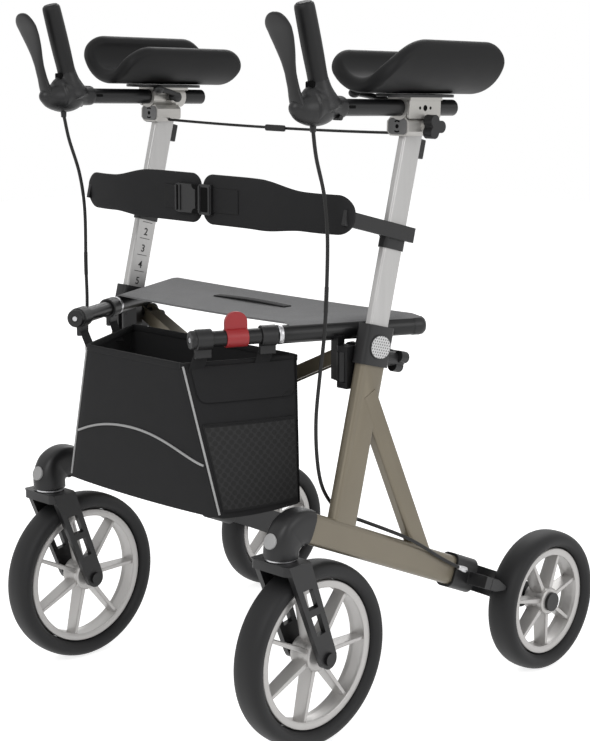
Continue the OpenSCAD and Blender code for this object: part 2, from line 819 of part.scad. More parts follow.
module clamp_lever() {
    color(black_c) on_arm() translate([cam_x, 0, -saddle_r / 2 + lug_t + gap])
        linear_extrude(cam_t) difference() {
            union() {
                circle(lug_r);
                translate([-5, -cam_l]) square([9, cam_l]);
                translate([-0.5, -cam_l]) circle(5.5);
            }
            circle(stud_d / 2 + run);
        }
}

module pad_plate() {
    color(black_c) on_arm() translate([0, 0, flange_z])
        linear_extrude(plate_t) round_rect(plate_w, plate_l, plate_r);
}

// Forearm gutter: a slab of foam bent to a U, with round corners and rolled edges
pad_shift = 10;
pad_in_turn = 76;
pad_out_turn = 95;
pad_corner = 38;
pad_blunt = 1.5;
pad_steps = 15;
pad_cap = 5;
pad_stations = 21;
pad_count = 2 * (pad_steps + pad_cap);
pad_pair = 2 * pad_steps + pad_cap;
function pad_turn(t, cut) = cut - pad_in_turn + t * (pad_in_turn + pad_out_turn - 2 * cut);
function pad_mid(a) = [pad_half * sin(a), pad_rise * (1 - cos(a))];
function pad_normal(a) = unit([-pad_rise * sin(a), pad_half * cos(a)]);
function pad_lip(a, side, c, thick) =
    let (n = pad_normal(a), d = side * [n[1], -n[0]])
        pad_mid(a) + thick * (n * cos(c) + d * sin(c));
function pad_face(cut, thick, i) =
    let (a = pad_turn(i / pad_steps, cut)) pad_mid(a) + thick * pad_normal(a);
function pad_ring(cut, thick) = concat(
    [for (i = [0:pad_steps]) pad_face(cut, thick, i)],
    [for (i = [1:pad_cap - 1]) pad_lip(pad_out_turn - cut, 1, 180 * i / pad_cap, thick)],
    [for (i = [pad_steps:-1:0]) pad_face(cut, -thick, i)],
    [for (i = [pad_cap - 1:-1:1]) pad_lip(cut - pad_in_turn, -1, 180 * i / pad_cap, thick)]
);
// What a round corner or edge takes off at a distance from the end
function round_off(d, r) = d >= r ? 0 : r - sqrt(r * r - (r - d) * (r - d));
function pad_v(i) = -cos(180 * i / (pad_stations - 1));
pad_points = [
    for (i = [0:pad_stations - 1])
        let (
            v = pad_v(i),
            d = pad_blunt + pad_l / 2 * (1 - abs(v)),
            cut = round_off(d, pad_corner) / pad_half * 180 / PI
        )
            for (p = pad_ring(cut, pad_t - round_off(d, pad_t))) [p[0], v * pad_l / 2, p[1]]
];
// Faces over one end of the slab, between pairs of points on its upper and lower side
function pad_end(base) = [
    for (j = [-2:pad_steps + 1])
        let (
            a = (j + pad_count) % pad_count,
            b = (j + 1 + pad_count) % pad_count,
            c = (pad_pair - j - 1) % pad_count,
            d = (pad_pair - j) % pad_count
        )
            each [base + [a, b, c], base + [a, c, d]]
];
module arm_pad() {
    last = (pad_stations - 1) * pad_count;
    ends = concat(
        pad_end([0, 0, 0]),
        [for (f = pad_end([last, last, last])) [f[0], f[2], f[1]]]
    );
    color(black_c) on_arm() translate([0, pad_shift, pad_z])
        polyhedron(pad_points, concat(strip_faces(pad_stations, pad_count), ends));
}

module arm_tube() {
    color(black_c) on_arm() along_y(-post_y + 4, post_y + arm_rear - 4) difference() {
        circle(arm_r);
        circle(arm_r - arm_wall);
    }
}

// Handles

module brake_housing() {
    belly_y = -post_y - belly_back;
    knuckle_r = 25;
    color(black_c) {
        difference() {
            union() {
                on_arm() along_x(-housing_w / 2, housing_w) {
                    translate([-post_y, 0]) circle(knuckle_r);
                    translate([belly_y, -belly_drop]) circle(belly_r);
                    polygon([
                        [-post_y, knuckle_r], [-post_y, -knuckle_r], [belly_y, -belly_drop - belly_r],
                        [-lever_y, lever_z - nose_low], [-lever_y - nose_l, lever_z - 3],
                        [-lever_y - nose_l / 2, lever_z + 9], [-lever_y + 10, lever_z + 9]
                    ]);
                }
                on_arm() along_y(-post_y, 36) circle(arm_r + 4);
                on_post() cylinder(r = grip_d / 2 + 0.5, h = grip_from - gap);
                on_post() cylinder(r = post_d / 2, h = grip_from + grip_l - 8);
            }
            on_arm() along_y(-post_y + 4 - fit, post_y) circle(arm_r + fit);
            on_arm() along_x(-lever_slot / 2, lever_slot) difference() {
                union() {
                    translate([-lever_y, lever_z]) circle(lever_barrel + 2);
                    translate([-lever_y - lever_barrel - 2, lever_z]) square([2 * lever_barrel + 4, knuckle_r]);
                }
                translate([-lever_y, lever_z]) circle(stud_d / 2);
            }
        }
    }
}

lever_barrel = 7;
ear_w = 6;
nose_l = 18;
nose_low = 22;
lever_slot = housing_w - 2 * ear_w;

module hand_grip() {
    color(rubber_c) on_post() translate([0, 0, grip_from]) difference() {
        rotate_extrude() intersection() {
            translate([0, grip_l / 2]) round_rect(grip_d, grip_l, 8);
            square([grip_d, grip_l]);
        }
        translate([0, 0, -1]) cylinder(r = post_d / 2 + fit, h = grip_l - 6);
    }
}

// Middle line of the brake lever from its pivot: it rises beside the grip, then leans away from it
lever_lean = 21;
lever_bow = 13;
lever_steps = 16;
function lever_mid(t) = [
    -lever_l * t * sin(lever_lean) + 4 * lever_bow * t * (1 - t),
    lever_l * t * cos(lever_lean)
];

module lever_strip(from, to) {
    side = [lever_t / 2, 0];
    steps = [for (i = [0:lever_steps]) from + (to - from) * i / lever_steps];
    polygon(concat(
        [for (t = steps) lever_mid(t) - side],
        [for (i = [lever_steps:-1:0]) lever_mid(steps[i]) + side]
    ));
}

module brake_lever() {
    color(black_c) on_arm() translate([0, -lever_y, lever_z]) {
        along_x(-lever_slot / 2 + gap, lever_slot - 2 * gap) difference() {
            union() {
                circle(lever_barrel);
                lever_strip(0, 0.35);
            }
            circle(stud_d / 2 + run);
        }
        intersection() {
            along_x(-lever_w / 2, lever_w) lever_strip(0.3, 1);
            along_y(-lever_l, 2 * lever_l) paddle_outline();
        }
    }
}

// Paddle seen along the walker: a narrow stem that widens to a round top
module paddle_outline() {
    top = lever_l * cos(lever_lean) - lever_w / 2;
    stem = lever_slot / 2 - gap;
    polygon(concat(
        [[stem, 0], [stem - 2, top * 0.5]],
        [for (a = [0:15:180]) [lever_w / 2 * cos(a), top + (lever_w / 2 + 1) * sin(a)]],
        [[2 - stem, top * 0.5], [-stem, 0]]
    ));
}

module brake_cable() {
    color(rubber_c) sweep(smooth(cable_route, 3), cable_d / 2);
}

// Seat, fold links and soft parts

module seat_rail() {
    web_from = norm([rail_rear_x - gate_x, rail_rear_y - gate_y]) * cos(
        atan2(rail_rear_x - gate_x, rail_rear_y - gate_y) - rail_yaw);
    color(black_c) difference() {
        union() {
            on_rail(0) cylinder(r = rail_r, h = rail_len);
            on_rail(rail_len - 1) cylinder(r = bar_r, h = bar_len + 1);
            translate([gate_x, gate_y, gate_low + gap])
                cylinder(r = gate_r, h = gate_high - gate_low - 2 * gap);
            translate([0, 0, gate_low + gap]) linear_extrude(rail_z - gate_low - gap - 4)
                polygon([
                    [gate_x - 3, gate_y - gate_r + 1], [gate_x - 3, gate_y + gate_r - 4],
                    [rail_x(web_from) + 2, rail_y(web_from) + 4],
                    [rail_x(web_from) - 2, rail_y(web_from) - 10]
                ]);
        }
        translate([gate_x, gate_y, gate_low]) cylinder(r = pin_r + run, h = gate_high - gate_low);
        translate([gate_x, gate_y, gate_high - gap]) cylinder(r = gate_r + gap, h = ear_t + 2 * gap);
    }
}

// Side plates of a fold link, joined by a top web that stops short of the middle
module fold_link(inner_y, plate) {
    color(frame_c) on_link() difference() {
        union() {
            for (y = [-link_w / 2, link_w / 2 - link_wall]) along_y(y, link_wall) {
                circle(eye_r);
                translate([-link_len + tongue_l, -eye_r]) square([link_len - tongue_l, link_h]);
            }
            translate([-link_len + tongue_l, -link_w / 2, eye_r - link_wall])
                cube([link_len - tongue_l - eye_r - 6, link_w, link_wall]);
            for (y = inner_y) along_y(y, plate) {
                translate([-link_len, 0]) circle(eye_r);
                translate([-link_len, -eye_r]) square([tongue_l + eye_r, link_h]);
            }
        }
        along_y(-link_w, 2 * link_w) {
            circle(pin_r + run);
            translate([-link_len, 0]) circle(pin_r + run);
        }
    }
}

belt_arm_h = 20;
belt_arm_t = 6;

// Arm across the outer face of the mast, with its clip and the short sleeve under it
module belt_arm() {
    band = 3;
    sleeve = 14;
    low = belt_at - belt_arm_h / 2;
    color(black_c) difference() {
        union() {
            on_mast(low) linear_extrude(belt_arm_h) mast_section(band);
            on_mast(low - sleeve) linear_extrude(sleeve + 1) mast_section(band - 1);
            on_mast(low) translate([mast_w / 2 + band - belt_arm_t / 3, -belt_reach, 0])
                cube([belt_arm_t, belt_reach + mast_d / 2 + 10, belt_arm_h]);
        }
        on_mast(low - sleeve - 1) linear_extrude(belt_arm_h + sleeve + 2) mast_section(fit);
    }
}

module seat_sling() {
    from = 4;
    color(seat_c) translate([0, 0, rail_z + rail_r + gap]) linear_extrude(sling_t) polygon([
        [rail_x(from), rail_y(from)], [rail_x(rail_len), rail_y(rail_len)],
        [-rail_x(rail_len), rail_y(rail_len)], [-rail_x(from), rail_y(from)]
    ]);
}

// Corner points of the bag, set in from its outer faces
bag_inset = 11;
bag_front_low = 152;
bag_rear_low = 177;
function bag_half(y) = rail_rear_x - (rail_rear_y - y) * tan(rail_yaw) - bag_inset / cos(rail_yaw);
function bag_level(in, front, rear, z) = [
    [-front + in, bag_front_y + in, z], [front - in, bag_front_y + in, z],
    [rear - in, bag_rear_y - in, z], [-rear + in, bag_rear_y - in, z]
];
function bag_corners(in, low, high) = concat(
    bag_level(in, bag_front_low, bag_rear_low, low),
    bag_level(in, bag_half(bag_front_y), bag_half(bag_rear_y), high)
);
box_faces = [
    [0, 1, 2], [0, 2, 3], [4, 6, 5], [4, 7, 6], [0, 4, 5], [0, 5, 1],
    [1, 5, 6], [1, 6, 2], [2, 6, 7], [2, 7, 3], [3, 7, 4], [3, 4, 0]
];

strap_in = -bag_inset + strap_t / 2;
strap_z = bag_top - rail_z;

module bag_straps() {
    for (s = clip_places) {
        on_rail(s - clip_w / 2) linear_extrude(clip_w) difference() {
            union() {
                circle(bar_r + gap + clip_t);
                polygon([
                    [-strap_t, -bar_r - gap - 1], [strap_t, -bar_r - gap - 1],
                    [strap_in, strap_z], [strap_in, strap_z - clip_w],
                    [strap_in - 1.5 * strap_t, strap_z - clip_w], [strap_in - 1.5 * strap_t, strap_z]
                ]);
            }
            circle(bar_r + gap);
        }
    }
}

module bag() {
    color(fabric_c) {
        difference() {
            polyhedron(bag_corners(0, bag_bottom, bag_top), box_faces);
            polyhedron(bag_corners(bag_wall, bag_bottom + bag_wall, bag_top + 1), box_faces);
        }
        bag_straps();
        mirror([1, 0, 0]) bag_straps();
    }
}

// Front end of the belt arms, and the outline of one half of the belt
belt_y = mast_y(belt_at) - belt_reach * cos(mast_lean) - belt_arm_h / 2 * sin(mast_lean);
belt_z = mast_z(belt_at) + belt_reach * sin(mast_lean) + 7;
belt_end = frame_x + mast_w / 2 + 13;
belt_drop = 5;
buckle_w = 54;
buckle_h = 44;
end_r = 22;

module belt_outline() {
    full = belt_h / 2;
    polygon(concat(
        [[buckle_w / 2 + gap, -full + 3], [belt_end * 0.25, -full], [belt_end * 0.55, -full]],
        [for (a = [-90:15:90]) [belt_end - end_r + end_r * cos(a), (full - 10) * sin(a) - belt_drop]],
        [[belt_end * 0.55, full - 2], [belt_end * 0.25, full], [buckle_w / 2 + gap, full - 3]]
    ));
}

module back_belt() {
    color(fabric_c) for (side = [0, 1]) mirror([side, 0, 0])
        along_y(belt_y - gap - belt_t, belt_t) translate([0, belt_z]) belt_outline();
}

module belt_buckle() {
    color(black_c) along_y(belt_y - gap - belt_t - 2, belt_t + 4)
        translate([0, belt_z]) round_rect(buckle_w, buckle_h, 8);
}

module release_tab() {
    tab_w = 36;
    tab_rise = 22;
    tab_t = 6;
    color(red_c) on_rail(rail_len + bar_len / 2 - tab_w / 2) linear_extrude(tab_w) difference() {
        union() {
            circle(bar_r + run + 3);
            translate([-tab_t / 2, 0]) square([tab_t, bar_r + tab_rise]);
        }
        circle(bar_r + run);
    }
}

cord_plate_w = 40;
cord_plate_h = 9;

module fold_cord() {
    color(rubber_c) {
        sweep(smooth(cord_route, 3), cord_d / 2);
        translate([0, cord_route[3][1] - cord_d / 2 - gap, cord_route[3][2]]) rotate([90, 0, 0])
            linear_extrude(3) round_rect(cord_plate_w, cord_plate_h, 4);
    }
}

left_tongue = [-tongue_w / 2];
right_fork = [-link_w / 2, link_w / 2 - link_wall];

side_frame();  // left_side_frame
height_collar();  // left_height_collar
height_knob();  // left_height_knob
mast();  // left_mast
caster_head();  // left_caster_head
caster_fork();  // left_caster_fork
front_rim();  // left_front_rim
front_tyre();  // left_front_tyre
front_axle();  // left_front_axle
rear_bracket();  // left_rear_bracket
rear_rim();  // left_rear_rim
rear_tyre();  // left_rear_tyre
rear_axle();  // left_rear_axle
brake_shoe();  // left_brake_shoe
arm_clamp();  // left_arm_clamp
clamp_knob();  // left_clamp_knob
clamp_lever();  // left_clamp_lever
pad_plate();  // left_pad_plate
arm_pad();  // left_arm_pad
arm_tube();  // left_arm_tube
brake_housing();  // left_brake_housing
hand_grip();  // left_hand_grip
brake_lever();  // left_brake_lever
brake_cable();  // left_brake_cable
seat_rail();  // left_seat_rail
fold_link(left_tongue, tongue_w);  // left_fold_link
belt_arm();  // left_belt_arm

right() side_frame();  // right_side_frame
right() height_collar();  // right_height_collar
right() height_knob();  // right_height_knob
right() mast();  // right_mast
right() caster_head();  // right_caster_head
right() caster_fork();  // right_caster_fork
right() front_rim();  // right_front_rim
right() front_tyre();  // right_front_tyre
right() front_axle();  // right_front_axle
right() rear_bracket();  // right_rear_bracket
right() rear_rim();  // right_rear_rim
right() rear_tyre();  // right_rear_tyre
right() rear_axle();  // right_rear_axle
right() brake_shoe();  // right_brake_shoe
right() arm_clamp();  // right_arm_clamp
right() clamp_knob();  // right_clamp_knob
right() clamp_lever();  // right_clamp_lever
right() pad_plate();  // right_pad_plate
right() arm_pad();  // right_arm_pad
right() arm_tube();  // right_arm_tube
right() brake_housing();  // right_brake_housing
right() hand_grip();  // right_hand_grip
right() brake_lever();  // right_brake_lever
right() brake_cable();  // right_brake_cable
right() seat_rail();  // right_seat_rail
right() fold_link(right_fork, link_wall);  // right_fold_link
right() belt_arm();  // right_belt_arm

seat_sling();
bag();
back_belt();
belt_buckle();
release_tab();
fold_cord();
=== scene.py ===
# %% [markdown]
# # An upright walker
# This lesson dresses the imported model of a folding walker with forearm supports.
# The rigid parts come from the CAD model and are never moved. Here they get their finishes,
# and the soft goods, wheels, handles and small trim are worked out as surfaces around them.
# Sizes are in millimetres, as on a drawing, and become metres when a mesh is made.

import json
import math

import bmesh
import bpy
import numpy as np
from mathutils import Matrix, Vector

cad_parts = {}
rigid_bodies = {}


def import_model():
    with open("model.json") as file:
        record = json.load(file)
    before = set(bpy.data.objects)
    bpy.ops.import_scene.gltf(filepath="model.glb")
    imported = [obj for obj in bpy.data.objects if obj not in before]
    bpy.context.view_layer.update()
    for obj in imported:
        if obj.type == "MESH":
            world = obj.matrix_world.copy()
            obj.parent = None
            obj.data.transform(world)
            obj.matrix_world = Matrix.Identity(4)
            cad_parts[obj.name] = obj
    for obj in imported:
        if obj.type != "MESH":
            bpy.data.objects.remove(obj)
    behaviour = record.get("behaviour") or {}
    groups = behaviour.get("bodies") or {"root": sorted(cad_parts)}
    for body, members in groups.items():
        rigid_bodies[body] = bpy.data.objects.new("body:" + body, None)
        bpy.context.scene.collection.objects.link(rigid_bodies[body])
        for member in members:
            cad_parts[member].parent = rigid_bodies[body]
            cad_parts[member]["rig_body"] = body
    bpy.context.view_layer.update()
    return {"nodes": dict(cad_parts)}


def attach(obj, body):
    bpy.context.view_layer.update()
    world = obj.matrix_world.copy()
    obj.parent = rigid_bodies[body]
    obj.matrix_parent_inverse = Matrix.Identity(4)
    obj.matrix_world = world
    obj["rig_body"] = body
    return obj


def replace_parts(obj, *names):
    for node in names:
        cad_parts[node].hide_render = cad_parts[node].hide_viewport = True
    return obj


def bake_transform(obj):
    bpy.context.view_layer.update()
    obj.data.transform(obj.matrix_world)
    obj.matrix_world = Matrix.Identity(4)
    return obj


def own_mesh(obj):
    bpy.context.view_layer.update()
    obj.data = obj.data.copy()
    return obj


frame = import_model()
nodes = frame["nodes"]
MM = 0.001
SIDES = {"left": 1, "right": -1}

# %% [markdown]
# ## Camera and light
# The walker stands a quarter turn to the camera, which is a little above the handles.
# A long lens keeps the wheels from bulging. Small lamps would leave hard spots on the black mouldings, so
# the lamps are large and soft and the satin paint shows broad highlights. The world is white to the
# camera and in reflections only, and dimmer as a light.

# %% Camera
CAMERA_AT, CAMERA_BACK, CAMERA_LENS = (1.7967, -1.8016, 0.9517), (0.6920, -0.6951, 0.1947), 85.07
camera = bpy.data.objects.new("camera", bpy.data.cameras.new("camera"))
bpy.context.scene.collection.objects.link(camera)
camera.location = CAMERA_AT
camera.rotation_euler = Vector(CAMERA_BACK).to_track_quat("Z", "Y").to_euler()
camera.data.lens = CAMERA_LENS
bpy.context.scene.camera = camera
bpy.context.scene.view_settings.view_transform = "Standard"
print("lens", CAMERA_LENS, "mm")


# %% Lamps and world
WORLD_FILL, WORLD_SEEN = 0.42, 1.0
LAMPS = {"key": ((1.0, -2.6, 2.6), 0.5, 1.6, 31), "side": ((3.0, 0.4, 1.7), 0.5, 1.6, 19),
         "rim": ((-1.6, 2.2, 2.4), 0.6, 1.4, 18)}


def lamp(name, place, aim_z, size, power):
    """A square area lamp at place, turned towards a point on the walker's middle line."""
    data = bpy.data.lights.new(name, "AREA")
    data.size, data.energy = size, power
    light = bpy.data.objects.new(name, data)
    bpy.context.scene.collection.objects.link(light)
    light.location = place
    light.rotation_euler = (Vector(place) - Vector((0, 0, aim_z))).to_track_quat("Z", "Y").to_euler()


def white_to_eye(tree):
    """1 for rays from the camera, off gloss and through glass, and 0 for the light that falls on the walker:
    the largest of the three ray kinds."""
    path = tree.nodes.new("ShaderNodeLightPath")
    first, second = (tree.nodes.new("ShaderNodeMath") for _ in range(2))
    for node in (first, second):
        node.operation = "MAXIMUM"
    tree.links.new(path.outputs["Is Camera Ray"], first.inputs[0])
    tree.links.new(path.outputs["Is Glossy Ray"], first.inputs[1])
    tree.links.new(first.outputs[0], second.inputs[0])
    tree.links.new(path.outputs["Is Transmission Ray"], second.inputs[1])
    return second.outputs[0]


for name, setting in LAMPS.items():
    lamp(name, *setting)
world = bpy.data.worlds.new("studio")
bpy.context.scene.world = world
world.use_nodes = True
sky = world.node_tree.nodes["Background"]
sky.inputs["Color"].default_value = (1, 1, 1, 1)
level = world.node_tree.nodes.new("ShaderNodeMapRange")
level.inputs["To Min"].default_value = WORLD_FILL
level.inputs["To Max"].default_value = WORLD_SEEN
world.node_tree.links.new(white_to_eye(world.node_tree), level.inputs["Value"])
world.node_tree.links.new(level.outputs["Result"], sky.inputs["Strength"])
print("lamps", len(LAMPS))

# %% [markdown]
# ## Working with arrays
# Pieces could be modelled by hand or with operators. Here every new piece is a grid of points, a section
# carried along a path or a surface over two parameters, so that each size stays a number that can be
# changed. One helper numbers the quads of a grid, one joins grids into a mesh, and one turns a profile
# about an axis. The left piece is worked out and the right one is mostly its mirror image.


# %% Grids
def grid(points, close_rows=False, close_cols=False):
    """Points of shape (rows, columns, 3) with their quads: row times columns plus column is a point's number,
    and a closed direction joins its last line to its first."""
    rows, cols = points.shape[:2]
    r = np.arange(rows if close_rows else rows - 1)[:, None]
    c = np.arange(cols if close_cols else cols - 1)[None, :]
    r1, c1 = (r + 1) % rows, (c + 1) % cols
    quads = np.stack(np.broadcast_arrays(r * cols + c, r * cols + c1, r1 * cols + c1, r1 * cols + c), -1)
    return points.reshape(-1, 3), [quads.reshape(-1, 4)]


def capped(points):
    """A tube of closed rings, shape (rings, sides, 3), with a flat face over each end."""
    verts, faces = grid(points, close_cols=True)
    rings, sides = points.shape[:2]
    ends = np.array([np.arange(sides)[::-1], np.arange(sides) + (rings - 1) * sides])
    return verts, faces + [ends]


def unit(v):
    """Vectors divided by their own lengths."""
    return v / np.linalg.norm(v, axis=-1, keepdims=True)


def carried(section, path, up=(0.31, 0.87, 0.39)):
    """A section of (across, up) points, one for all or one for each path point, set square to the path:
    across is the cross product of the path's direction and up."""
    way = unit(np.gradient(path, axis=0))
    side = unit(np.cross(way, np.asarray(up, float)))
    high = np.cross(side, way)
    section = np.broadcast_to(section, (len(path),) + np.shape(section)[-2:])
    return path[:, None] + section[..., :1] * side[:, None] + section[..., 1:] * high[:, None]


def ring(radius, sides=16):
    """A circle of points as a section: cosine and sine times the radius."""
    a = np.linspace(0, 2 * np.pi, sides, endpoint=False)
    return np.stack([np.cos(a), np.sin(a)], -1) * radius


def oval(w, h, power, sides=40):
    """A superellipse: power 2 is an ellipse, and higher powers come nearer to a rounded rectangle."""
    a = np.linspace(0, 2 * np.pi, sides, endpoint=False)
    c, s = np.cos(a), np.sin(a)
    x, y = (np.sign(f) * np.abs(f) ** (2 / power) * size / 2 for f, size in ((c, w), (s, h)))
    return np.stack([x, y], -1)


def turned(profile, centre, axis=(1, 0, 0), sides=64):
    """A profile of (radius, along) points turned about an axis through centre; radius 0 closes an end."""
    profile, axis = np.asarray(profile, float), unit(np.asarray(axis, float))
    across = unit(np.cross(axis, (0.0, 0.6, 0.8) if abs(axis[0]) > 0.5 else (1.0, 0.0, 0.0)))
    other = np.cross(axis, across)
    a = np.linspace(0, 2 * np.pi, sides, endpoint=False)[:, None, None]
    points = profile[:, :1] * (np.cos(a) * across + np.sin(a) * other) + profile[:, 1:] * axis
    return grid(points + np.asarray(centre, float), close_rows=True)


def slab(outline, place, thickness):
    """A closed outline of (a, b) points drawn out through a thickness c; place gives them their places."""
    c = np.array([0.0, thickness])
    points = np.stack(np.broadcast_arrays(outline[None, :, 0], outline[None, :, 1], c[:, None]), -1)
    return capped(place(points))


def round_box(w, h, r, steps=6):
    """Outline of a rectangle with round corners, about its middle: one quarter circle, turned four times."""
    a = np.linspace(0, np.pi / 2, steps)
    corner = np.stack([np.cos(a), np.sin(a)], -1) * r
    turns = [np.array([[1, 0], [0, 1]]), np.array([[0, 1], [-1, 0]]), -np.eye(2), np.array([[0, -1], [1, 0]])]
    mids = np.array([[1, 1], [-1, 1], [-1, -1], [1, -1]]) * (np.array([w, h]) / 2 - r)
    return np.concatenate([corner @ t + m for t, m in zip(turns, mids)])


def curve_through(points, steps):
    """A smooth curve through all the points, with steps between each two: a cubic on each stretch, whose
    slope at a point is half the step from the point before it to the point after it."""
    p = np.asarray(points, float)
    a, b, c, d = (p[np.clip(np.arange(len(p) - 1) + k, 0, len(p) - 1)][:, None] for k in (-1, 0, 1, 2))
    t = np.linspace(0, 1, steps, endpoint=False)[None, :, None]
    square, cube = 2 * a - 5 * b + 4 * c - d, 3 * b - a - 3 * c + d
    between = 0.5 * (2 * b + (c - a) * t + square * t**2 + cube * t**3)
    return np.concatenate([between.reshape(-1, 3), p[-1:]])


def path_length(path):
    """The sum of the distances between neighbouring points."""
    return float(np.linalg.norm(np.diff(path, axis=0), axis=1).sum())


# %% Meshes
def make(name, parts, finish, body, slot, side=1, sharp=35, uv=None, soften=0.0):
    """One object from grids in millimetres. side -1 mirrors it; soften is the width of a small bevel."""
    verts, faces, start = [], [], 0
    for points, groups in parts:
        verts.append(points * (MM * side, MM, MM))
        for group in groups:
            faces += (group[:, ::side] + start).tolist()
        start += len(points)
    mesh = bpy.data.meshes.new(name)
    mesh.from_pydata(np.concatenate(verts).tolist(), [], faces)
    if uv is not None:
        layer = mesh.uv_layers.new(name="cloth")
        corner = np.zeros(len(mesh.loops), np.int32)
        mesh.loops.foreach_get("vertex_index", corner)
        layer.data.foreach_set("uv", np.asarray(uv, np.float32).reshape(-1, 2)[corner].ravel())
    shell = bmesh.new()
    shell.from_mesh(mesh)
    bmesh.ops.remove_doubles(shell, verts=shell.verts, dist=1e-6)
    bmesh.ops.recalc_face_normals(shell, faces=shell.faces)
    shell.to_mesh(mesh)
    shell.free()
    return dress(bpy.data.objects.new(name, mesh), finish, body, slot, sharp, soften)


def dress(piece, finish, body, slot, sharp=35, soften=0.0):
    """Links a piece, shades it, gives it its finish and lets it ride on a body."""
    bpy.context.scene.collection.objects.link(piece)
    piece.data.polygons.foreach_set("use_smooth", np.ones(len(piece.data.polygons), bool))
    piece.data.set_sharp_from_angle(angle=math.radians(sharp))
    piece.data.materials.clear()
    piece.data.materials.append(finish)
    if soften:
        bevel = piece.modifiers.new("soften", "BEVEL")
        bevel.width, bevel.segments, bevel.limit_method = soften * MM, 2, "ANGLE"
        bevel.angle_limit = math.radians(40)
        bevel.harden_normals = True
    if body:
        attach(piece, body)
    return piece if slot else piece


def moulded(node, finish, slot, width=0.8, flat=4):
    """A copy of a CAD part with its edges rounded, as a mould leaves them, that stands for the part."""
    copy = bpy.data.objects.new(node + "_edges", nodes[node].data.copy())
    shell = bmesh.new()
    shell.from_mesh(copy.data)
    bmesh.ops.remove_doubles(shell, verts=shell.verts, dist=2e-6)
    bmesh.ops.dissolve_limit(shell, angle_limit=math.radians(flat), verts=shell.verts, edges=shell.edges)
    shell.to_mesh(copy.data)
    shell.free()
    dress(copy, finish, nodes[node]["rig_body"], slot, 35, width)
    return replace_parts(copy, node)


# %% [markdown]
# ## Finishes
# The walker has few colours: champagne paint, satin alloy, pale grey rims and a family of blacks.
# What tells the blacks apart is their surface, so each gets its own gloss and grain. Pictures could carry
# the grain, but noise worked out by the shader has no seams and no pixels.
# Patterns read Object coordinates in metres, and cloth reads its own UV map, also in metres.


# %% Shader helpers
def srgb(*rgb):
    """A colour as seen on a screen, 0 to 255, in the linear values that a shader takes."""
    c = np.array(rgb) / 255
    return (*np.where(c <= 0.04045, c / 12.92, ((c + 0.055) / 1.055) ** 2.4).tolist(), 1.0)


def new_finish(name, rough, metal=0.0, **sockets):
    """A material with its uniform values set on the shader's own sockets."""
    material = bpy.data.materials.new(name)
    material.use_nodes = True
    shader = material.node_tree.nodes["Principled BSDF"]
    shader.inputs["Roughness"].default_value = rough
    shader.inputs["Metallic"].default_value = metal
    for socket, value in sockets.items():
        shader.inputs[socket.replace("_", " ")].default_value = value
    return material, material.node_tree, shader


def coordinates(tree, kind="Object", scale=(1, 1, 1)):
    """Texture coordinates of one kind, stretched by a Mapping node."""
    source = tree.nodes.new("ShaderNodeTexCoord")
    mapping = tree.nodes.new("ShaderNodeMapping")
    mapping.inputs["Scale"].default_value = scale
    tree.links.new(source.outputs[kind], mapping.inputs["Vector"])
    return mapping.outputs["Vector"]


def noise(tree, where, scale, detail=3.0):
    """Cloudy values from 0 to 1, with that many clouds to the metre."""
    node = tree.nodes.new("ShaderNodeTexNoise")
    node.inputs["Scale"].default_value = scale
    node.inputs["Detail"].default_value = detail
    tree.links.new(where, node.inputs["Vector"])
    return node.outputs["Fac"]


def ramp(tree, value, dark, light, low=0.3, high=0.7):
    """Turns a value into a colour between dark, at low, and light, at high."""
    node = tree.nodes.new("ShaderNodeValToRGB")
    first, last = node.color_ramp.elements
    first.position, first.color = low, dark
    last.position, last.color = high, light
    tree.links.new(value, node.inputs["Fac"])
    return node.outputs["Color"]


def spread(tree, value, low, high):
    """Turns a value from 0 to 1 into one from low to high."""
    node = tree.nodes.new("ShaderNodeMapRange")
    node.inputs["To Min"].default_value = low
    node.inputs["To Max"].default_value = high
    tree.links.new(value, node.inputs["Value"])
    return node.outputs["Result"]


def combine(tree, kind, first, second):
    """One step of arithmetic on two values, each a socket or a number."""
    node = tree.nodes.new("ShaderNodeMath")
    node.operation = kind
    for socket, value in zip(node.inputs, (first, second)):
        if isinstance(value, (int, float)):
            socket.default_value = value
        else:
            tree.links.new(value, socket)
    return node.outputs[0]


def weighed(tree, first, second, share):
    """Two values added by weight: share of the first and the rest of the second."""
    parts = ((first, share), (second, 1 - share))
    return combine(tree, "ADD", *(combine(tree, "MULTIPLY", value, weight) for value, weight in parts))


def raise_surface(tree, shader, height, depth, strength=0.6):
    """Bump whose full height is depth metres."""
    node = tree.nodes.new("ShaderNodeBump")
    node.inputs["Strength"].default_value = strength
    node.inputs["Distance"].default_value = depth
    tree.links.new(height, node.inputs["Height"])
    tree.links.new(node.outputs["Normal"], shader.inputs["Normal"])


def shade(rgb, share):
    """A colour made lighter or darker: each channel times a share, up to full white."""
    return tuple(min(1.0, c * share) for c in rgb[:3]) + (1.0,)


# %% Hard finishes
def grained(name, rgb, rough, grain, depth, vary=0.12, metal=0.0, stretch=(1, 1, 1), **sockets):
    """A hard finish: slow changes of tone, a fine grain of that scale, and gloss that follows the grain."""
    material, tree, shader = new_finish(name, rough, metal, **sockets)
    where = coordinates(tree, scale=stretch)
    slow, fine = noise(tree, where, 14.0, 2.0), noise(tree, where, grain)
    mixed = weighed(tree, slow, fine, 0.5)
    tree.links.new(ramp(tree, mixed, shade(rgb, 1 - vary), shade(rgb, 1 + vary)), shader.inputs["Base Color"])
    tree.links.new(spread(tree, fine, rough - 0.07, rough + 0.07), shader.inputs["Roughness"])
    raise_surface(tree, shader, fine, depth)
    return material


